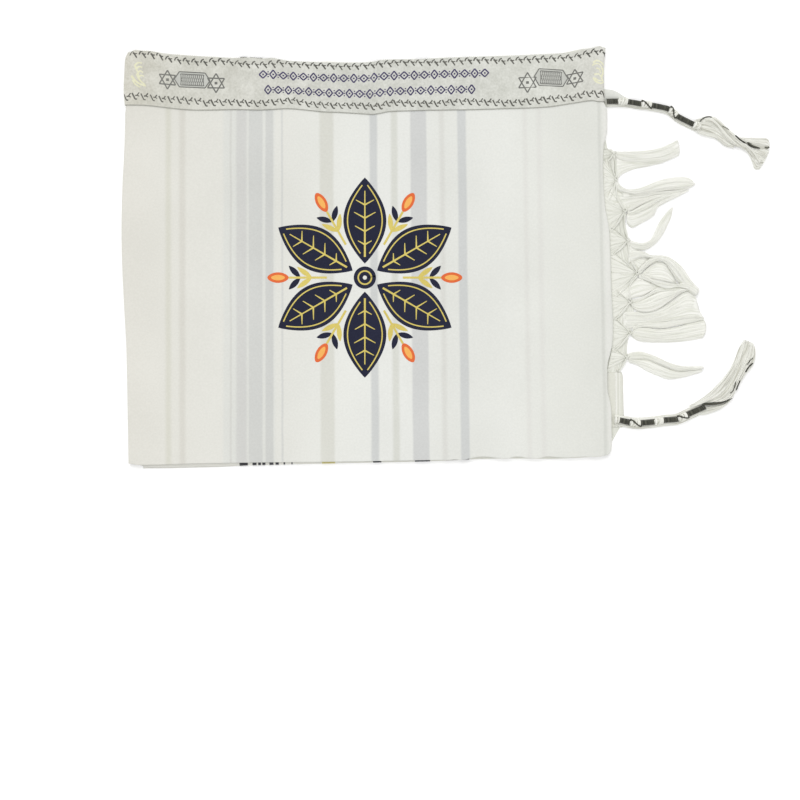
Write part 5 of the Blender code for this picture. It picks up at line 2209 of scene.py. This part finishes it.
TOP_TASSEL = CornerTassel(
    name="top_tassel",
    node="corner_tassel_top",
    slot=Slot.TOP_TASSEL,
    shank=SmoothLine(((287.9, 188.3), (301.8, 188.6), (313.4, 188.2), (329.7, 185.6), (344, 183.6),
        (363.4, 179.1), (372.7, 171.2), (392.6, 160.9), (400.5, 157.3))).evened(24),
    stretches=sections(("wound", 13.4), ("knot", 11.8), ("wound", 16.7), ("knot", 12.5), ("wound", 22),
        ("knot", 11.5), ("wound", 23), ("knot", 8)),
    bundle=(
        Lock(
            ((394.6, 166.5), (402.5, 168.9), (411.7, 171), (419.5, 169.4), (426.6, 164.4), (435.8, 155.2),
             (442.9, 147.1)),
            ((391.1, 158.4), (396.1, 152.7), (402.5, 148.8), (411.7, 146.1), (419.5, 144.2),
             (426.6, 139.2), (432.3, 134.9)),
            0.4, 5.6, lift=1.6, spacing=2.4, depth=0.8, threads=22),
        Lock(
            ((396.1, 155.5), (404.6, 155.9), (413.1, 154.1), (420.9, 150.5), (427.3, 145.6),
             (433.7, 141.3), (442.9, 134.9)),
            ((395, 152.7), (402.5, 148.4), (411.7, 145.9), (418.1, 144.7), (423.8, 141.2), (430.9, 135.5),
             (441.5, 131.9)),
            1.4, 4.6, lift=2.4, spacing=2.4, depth=0.9, threads=11),
        Lock(
            ((402.5, 168.7), (411.7, 170.8), (419.5, 165.5), (426.6, 158.4), (433.7, 149.8), (441.5, 142),
             (449.7, 135.5)),
            ((403.9, 161.9), (411.7, 162.6), (418.1, 159.4), (424.5, 152), (430.9, 144.2), (438, 137.8),
             (447.2, 132.9)),
            3, 4.6, lift=3, spacing=2.6, depth=0.8, threads=11),
        Lock(
            ((411.7, 170.9), (419.5, 169.3), (426.6, 164), (435.8, 155.1), (443.6, 146.9), (451.4, 139),
             (461, 129.1)),
            ((414.5, 164.7), (420.9, 162.6), (427.3, 155.5), (433.7, 147), (442.2, 138.3), (449.3, 133.4),
             (457.8, 128.2)),
            2.6, 4.8, lift=2.6, spacing=2.6, depth=0.8, threads=12),
        Lock(
            ((442.9, 147), (452.9, 144.7), (466.4, 144.9), (475.6, 145.2), (483.4, 144), (485, 137.1)),
            ((448.6, 140.6), (457.8, 137.8), (466.4, 133.4), (473.5, 131.2), (480.6, 131), (485.4, 131.7)),
            0.4, 4.2, lift=1.2, tip=0.8, spacing=2.4, depth=0.7, threads=16, fray=1),
        Lock(
            ((455, 138.5), (464.9, 133.1), (475.6, 131.7), (483, 131.2), (485.2, 127.8)),
            ((456.4, 130.7), (461.4, 122.7), (464.9, 114.2), (467.4, 107.1), (473.5, 106.4)),
            0.4, 4.4, lift=1.6, tip=0.8, spacing=2.4, depth=0.8, threads=24, fray=1),
        Lock(
            ((430.9, 159.1), (438, 152.7), (445.1, 146.1), (452.9, 139.8), (460, 134.1), (467.8, 126.3),
             (475.6, 115.8)),
            ((426.6, 154.1), (435.1, 145.6), (442.2, 139.8), (449.3, 134.8), (456.4, 131.2),
             (462.8, 124.1), (469.2, 112.9)),
            3.2, 4.2, lift=3.4, tip=0.7, spacing=2.6, depth=0.8, threads=11),
    ),
    dark=(
        DarkThread(((399.8, 162.8), (402.5, 166.5), (406.7, 169), (411, 169.7), (415.2, 169.2)), 0.6),
        DarkThread(((426.6, 158.5), (430.9, 156.4), (435.5, 154)), 0.4),
        DarkThread(((442.9, 147.4), (447.2, 143.1), (451.4, 139.9), (455.4, 137.6)), 0.85),
        DarkThread(((458.2, 139.2), (462.8, 135.1), (468.5, 133.4), (473.8, 131.9)), 0.85, 2),
        DarkThread(((479.5, 132.9), (482.4, 132.4), (484.6, 133.1)), 1),
    ),
    beside=((-1.4, -6.2),),
    crossed=(2, 3),
    seed=3,
)
BOTTOM_TASSEL = CornerTassel(
    name="bottom_tassel",
    node="corner_tassel_bottom",
    slot=Slot.BOTTOM_TASSEL,
    shank=SmoothLine(((297.4, -197), (303.1, -197.2), (317, -200.6), (329.1, -200.9), (344.8, -199.6),
        (357.6, -197.6), (375.1, -196), (385.5, -190.8), (406.8, -181.1))).evened(24),
    stretches=sections(("knot", 5.6), ("wound", 13.3), ("knot", 13.4), ("wound", 16.5), ("knot", 11.1),
        ("wound", 17.9), ("knot", 12.3), ("wound", 23.6)),
    bundle=(
        Lock(
            ((388.4, -179.3), (396.2, -175.7), (405.3, -169.9), (414.3, -162.1), (422.1, -154.3),
             (429.9, -145.9), (437.7, -135.5), (444.1, -121.9), (448, -111.6), (454.2, -100.7)),
            ((388.4, -185.1), (398.8, -180.6), (407.9, -178), (419.5, -174.7), (429.9, -167.6),
             (436.4, -158.5), (442.9, -146.2), (448.7, -133.3), (453.2, -120.3), (457.9, -100.2)),
            0.4, 5.4, lift=1, spacing=2.4, depth=0.9, threads=26),
        Lock(
            ((404.6, -178), (414.3, -174.1), (424.7, -168.9), (432.5, -161.1), (439, -151.4),
             (444.1, -139.7), (448.7, -128.1), (452.6, -116.4), (456.5, -106), (457.8, -100.5)),
            ((409.8, -178.8), (420.8, -177.8), (431.2, -175.5), (439.3, -171.6), (445.4, -159.8),
             (451, -150.8), (457.4, -141), (464, -133.3), (468.4, -121.6), (468, -106.4)),
            1.6, 4.8, lift=2.8, spacing=2.4, depth=0.9, threads=22),
        Lock(
            ((403.3, -181.2), (409.8, -180.6), (417.6, -179.6), (424.7, -178.6), (431.2, -176.7),
             (438.3, -172.8)),
            ((398.1, -191.6), (407.9, -190.8), (415.6, -188.4), (422.1, -185.8), (428.6, -181.9),
             (436.4, -175.4)),
            0.4, 4, lift=0.8, spacing=2.6, depth=0.3, threads=8, fray=0),
    ),
    dark=(
        DarkThread(((403.4, -178.6), (410.3, -177.9), (418.1, -177.3), (425.6, -176.4), (433.2, -174.1),
            (440.3, -170.9)), 0.66, 3),
        DarkThread(((436.4, -165.5), (440.3, -161.8), (442.2, -156.6), (444.3, -150.1)), 0.6),
        DarkThread(((444.7, -161.5), (446.7, -154.7), (449.1, -148.8)), 0.7),
        DarkThread(((455.7, -139.4), (459.1, -133.3), (465.2, -128.2)), 0.85),
        DarkThread(((457, -130.8), (461, -125.5), (465.1, -121.5)), 0.5),
    ),
    beside=((-1.4, -6.6), (6.6, 1.4)),
    crossed=(2, 4),
    seed=8,
)


@dataclass
class Studio:
    """Floor, soft lights and the camera that looks straight down."""

    view_width: float = 0.968
    lens: float = 85.0
    sensor: float = 36.0
    aim: tuple[float, float] = (0.0375, -0.173)
    floor_size: float = 6.0
    floor_colour: tuple[float, float, float, float] = (0.98, 0.98, 0.98, 1.0)
    floor_glow: float = 0.1
    key_spread: float = 40.0
    key_power: float = 1.0
    fill_spread: float = 70.0
    fill_power: float = 0.5
    sky_power: float = 0.707

    def build(self) -> None:
        """Makes the floor, the lights, the backdrop light and the camera."""
        mesh = bpy.data.meshes.new("floor")
        half = self.floor_size / 2
        mesh.from_pydata([(-half, -half, 0.0), (half, -half, 0.0), (half, half, 0.0), (-half, half, 0.0)],
                         [], [(0, 1, 2, 3)])
        floor = bpy.data.objects.new("floor", mesh)
        look = bpy.data.materials.new("floor")
        look.use_nodes = True
        shader = look.node_tree.nodes["Principled BSDF"]
        shader.inputs["Base Color"].default_value = self.floor_colour
        shader.inputs["Roughness"].default_value = 1.0
        shader.inputs["Specular IOR Level"].default_value = 0.0
        shader.inputs["Emission Color"].default_value = (1.0, 1.0, 1.0, 1.0)
        shader.inputs["Emission Strength"].default_value = self.floor_glow
        mesh.materials.append(look)
        bpy.context.scene.collection.objects.link(floor)
        self.light("key", (-0.6, 1.3, 1.6), self.key_spread, self.key_power)
        self.light("fill", (1.2, -0.8, 2.2), self.fill_spread, self.fill_power)
        world = bpy.data.worlds.new("studio")
        world.use_nodes = True
        world.node_tree.nodes["Background"].inputs["Color"].default_value = (1.0, 1.0, 1.0, 1.0)
        world.node_tree.nodes["Background"].inputs["Strength"].default_value = self.sky_power
        scene = bpy.context.scene
        scene.world = world
        scene.view_settings.view_transform = "Standard"
        camera_data = bpy.data.cameras.new("overhead_camera")
        camera_data.lens = self.lens
        camera_data.sensor_width = self.sensor
        camera = bpy.data.objects.new("overhead_camera", camera_data)
        distance = self.view_width * self.lens / self.sensor
        camera.location = (*self.aim, distance + 6 * MM)
        scene.collection.objects.link(camera)
        scene.camera = camera

    @staticmethod
    def light(name: str, source: tuple[float, float, float], spread: float, power: float) -> None:
        """Adds a broad, even light from one direction.

        Args:
            name: The light's name.
            source: Where it comes from.
            spread: How broad it is, in degrees.
            power: Its strength in watts per square metre.
        """
        data = bpy.data.lights.new(name, "SUN")
        data.angle = math.radians(spread)
        data.energy = power
        lamp = bpy.data.objects.new(name, data)
        lamp.location = source
        lamp.rotation_mode = "QUATERNION"
        lamp.rotation_quaternion = (-Vector(source)).to_track_quat("-Z", "Y")
        bpy.context.scene.collection.objects.link(lamp)


SHAWL_TONES = (
    (0, (229, 227, 218)), (1, (228, 229, 222)), (0.12, (231, 230, 222)), (0.33, (230, 230, 223)),
    (0.46, (235, 236, 230)), (0.56, (236, 237, 232)), (0.66, (230, 231, 225)), (0.78, (235, 236, 230)),
    (0.9, (231, 232, 225)),
)
GHOST_STRIPES_AND_FOLD_HIGHLIGHT = (
    Stripe(-246, -239.6, (221, 220, 208), 2.8),
    Stripe(-229.4, -222, (221, 219, 210), 2.8),
    Stripe(-176, -113.5, (225, 226, 220), 2.6),
    Stripe(-168.2, -165.8, (216, 216, 210), 1.1),
    Stripe(-160.4, -147.8, (213, 213, 209), 2.2),
    Stripe(-145.4, -128.8, (212, 213, 209), 1.3),
    Stripe(-125.2, -115.8, (210, 211, 207), 1.3),
    Stripe(-106.2, -103.8, (214, 215, 211), 1.1, 0.9),
    Stripe(-59.3, -42.6, (220, 220, 211), 2.2),
    Stripe(1.6, 10.8, (211, 213, 211), 1.8),
    Stripe(27.4, 35.4, (221, 222, 214), 2.2),
    Stripe(51.2, 70.8, (212, 213, 211), 1.5),
    Stripe(86.6, 92.6, (222, 222, 216), 2.6),
    Stripe(108.6, 119, (210, 212, 210), 1.6),
    Stripe(188, 193.4, (229, 229, 223), 2.8),
    Stripe(205, 211, (229, 229, 223), 2.8),
    Stripe(279.7, 283.3, (214, 215, 208), 1.4, 0.7),
    # Painted highlight: a lighter band along the front cloth's right fold.
    Stripe(285.6, 291, (236, 236, 230), 1.5, 0.7),
)
UNDER_STRIPES = (
    Stripe(-157, -147, (52, 52, 56), 0.4),
    Stripe(-141.4, -136.5, (60, 60, 64), 0.4),
    Stripe(-134.5, -131, (72, 72, 76), 0.4),
    Stripe(-129.5, -125.6, (64, 64, 68), 0.4),
    Stripe(-120.9, -116, (70, 70, 74), 0.4),
    Stripe(-113.5, -109.4, (64, 64, 70), 0.4),
    Stripe(-103.6, -101.6, (60, 60, 68), 0.3),
    Stripe(-94, -92.4, (76, 76, 84), 0.3),
    Stripe(-57, -41, (205, 196, 130), 0.6),
    Stripe(5, 15, (46, 46, 52), 0.4),
    Stripe(55.6, 73.8, (44, 46, 54), 0.4),
    Stripe(93, 108, (206, 206, 200), 0.8),
    Stripe(112.6, 121.4, (44, 46, 54), 0.4),
)
CLOTH = ClothFinish("shawl_cloth", SHAWL_TONES, GHOST_STRIPES_AND_FOLD_HIGHLIGHT)
UNDER_CLOTH = ClothFinish(
    "striped_cloth", ((0, (232, 231, 224)), (1, (231, 232, 222))), UNDER_STRIPES, slant=0, fan=0
)
HEM_CLOTH = ClothFinish("hem_cloth", ((0.0, (232, 232, 223)), (1.0, (230, 230, 219))))
PATCH_STRIPES = (
    Stripe(287, 291, (222, 222, 213), 2),
    Stripe(298.4, 300.4, (243, 243, 236), 0.5),
    Stripe(301.2, 302.2, (222, 223, 212), 0.4),
    Stripe(303, 304.2, (241, 241, 233), 0.4),
)
PATCH_CLOTH = ClothFinish(
    "patch_cloth", ((0, (230, 230, 221)), (1, (229, 229, 218))), PATCH_STRIPES, slant=0, fan=0
)
RIBBON_TONES = (
    (0, (217, 214, 200)), (1, (220, 219, 210)), (0.1, (214, 213, 201)), (0.3, (218, 218, 208)),
    (0.5, (216, 217, 208)), (0.7, (219, 220, 211)), (0.88, (220, 221, 211)),
)
# Painted sheen: the ribbon's strong broad clouds paint light and dark satin blotches into its colour, on top
# of its uneven tone.
RIBBON = ClothFinish(
    "band_ribbon", RIBBON_TONES, roughness=0.62, sheen=0.2, pitch=0.7, bump=0.3, mottle_and_sheen=0.3, cloud=60.0
)
# The third colour of each combed finish is painted shade for the grooves between threads.
NET_THREAD = CombedFinish("net_thread", (240, 240, 232), (234, 235, 226), (226, 227, 216))
FRINGE_THREAD = CombedFinish("fringe_thread", (250, 250, 244), (246, 246, 238), (235, 236, 225))
TASSEL_THREAD = CombedFinish(
    "tassel_thread", (250, 250, 243), (238, 238, 229), (208, 207, 195), width=0.9, bump=0.5
)
WINDING_THREAD = YarnFinish("winding_thread", (98, 98, 86), (52, 52, 45), ply=1.6, bump=0.3, roughness=0.8)
SPRIG_THREAD = MarkFinish("sprig_thread", (84, 84, 78), (112, 111, 104))
STAR_THREAD = MarkFinish("star_thread", (104, 105, 102), (130, 130, 124))
PANEL_GROUND = MarkFinish("panel_ground", (204, 205, 198), (192, 193, 186))
SELVAGE_THREAD = MarkFinish("selvage_thread", (244, 244, 236), (232, 232, 222))
STRIPE_RIM = MarkFinish("stripe_rim", (60, 60, 62), (80, 80, 80))
NAVY_THREAD = MarkFinish("navy_thread", (52, 46, 86), (88, 82, 116))
GOLD_THREAD = MarkFinish("gold_thread", (240, 240, 214), (228, 226, 192), roughness=0.45, metallic=0.05)
# Grey for the fine line along the band's lower edge.
EDGE_GREY_LINE = MarkFinish("edge_grey_line", (168, 168, 160), (182, 182, 174))
PATCH_STITCH = MarkFinish("patch_stitch", (244, 244, 238), (236, 236, 228))
NAVY_INK = MarkFinish("navy_ink", (14, 18, 46), (26, 30, 56))
GOLD_INK = MarkFinish("gold_ink", (226, 208, 112), (210, 192, 98), roughness=0.6)
ORANGE_INK = MarkFinish("orange_ink", (234, 112, 58), (224, 104, 50))
PALE_INK = MarkFinish("pale_ink", (250, 188, 100), (246, 176, 88))


TOP_CORNER = Lock(
    ((284, 203.6), (293, 203.4), (300.5, 201), (308, 196), (315.5, 192)),
    ((284, 188), (293, 188.4), (300.5, 188.4), (308, 188.4), (315.5, 188)),
    0.5, 2, root=0.9, tip=0.9, lift=0.5, spacing=8, depth=0.3, threads=0, bow=0)


def corners(limits: tuple[Vector, Vector]) -> list[list[float]]:
    """Gives a box's two corners as plain lists of numbers."""
    return [[float(value) for value in corner] for corner in limits]


def main() -> None:
    """Loads the frame, then builds and dresses each part of the shawl in turn."""
    logging.basicConfig(level=logging.INFO, format="%(message)s")
    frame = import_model()
    Studio().build()
    effects = SharedEffects()
    form = FoldedForm()

    under = frame["nodes"]["under_layers"]
    under.data.materials.clear()
    under.data.materials.append(UNDER_CLOTH.make(effects))
    LOG.info("under_layers: hidden sheets dressed")

    cloth = CLOTH.make(effects)
    FrontCloth(form).build(cloth)

    band = NeckBand(form)
    band.build(RIBBON.make(effects))
    band.sprigs(SPRIG_THREAD.make(effects))
    band.panel_grounds(PANEL_GROUND.make(effects))
    band.stars_and_panels(STAR_THREAD.make(effects))
    band.lozenge_rows(NAVY_THREAD.make(effects))
    band.end_flourishes(GOLD_THREAD.make(effects))
    band.build_edge_grey_line(EDGE_GREY_LINE.make(effects))
    band.selvage(SELVAGE_THREAD.make(effects))
    band.stripe_rims(STRIPE_RIM.make(effects))

    PetalEmblem(form).build(
        NAVY_INK.make(effects), GOLD_INK.make(effects), ORANGE_INK.make(effects), PALE_INK.make(effects)
    )

    fringe = EndFringe(form)
    fringe.net(NET_THREAD.make(effects))
    fringe.build(FRINGE_THREAD.make(effects))
    hem_cloth = HEM_CLOTH.make(effects)
    fringe.hem(hem_cloth)

    patch = CornerPatch()
    patch.build(PATCH_CLOTH.make(effects))
    patch.stitches(PATCH_STITCH.make(effects))

    pale, dark = TASSEL_THREAD.make(effects), WINDING_THREAD.make(effects)
    gather = ThreadDraft()
    gather.add_lock(TOP_CORNER, random.Random(4))
    gather.to_piece("top_corner_gather", cloth, Slot.TOP_TASSEL)
    TOP_TASSEL.build(pale, dark)
    BOTTOM_TASSEL.build(pale, dark)


if __name__ == "__main__":
    main()
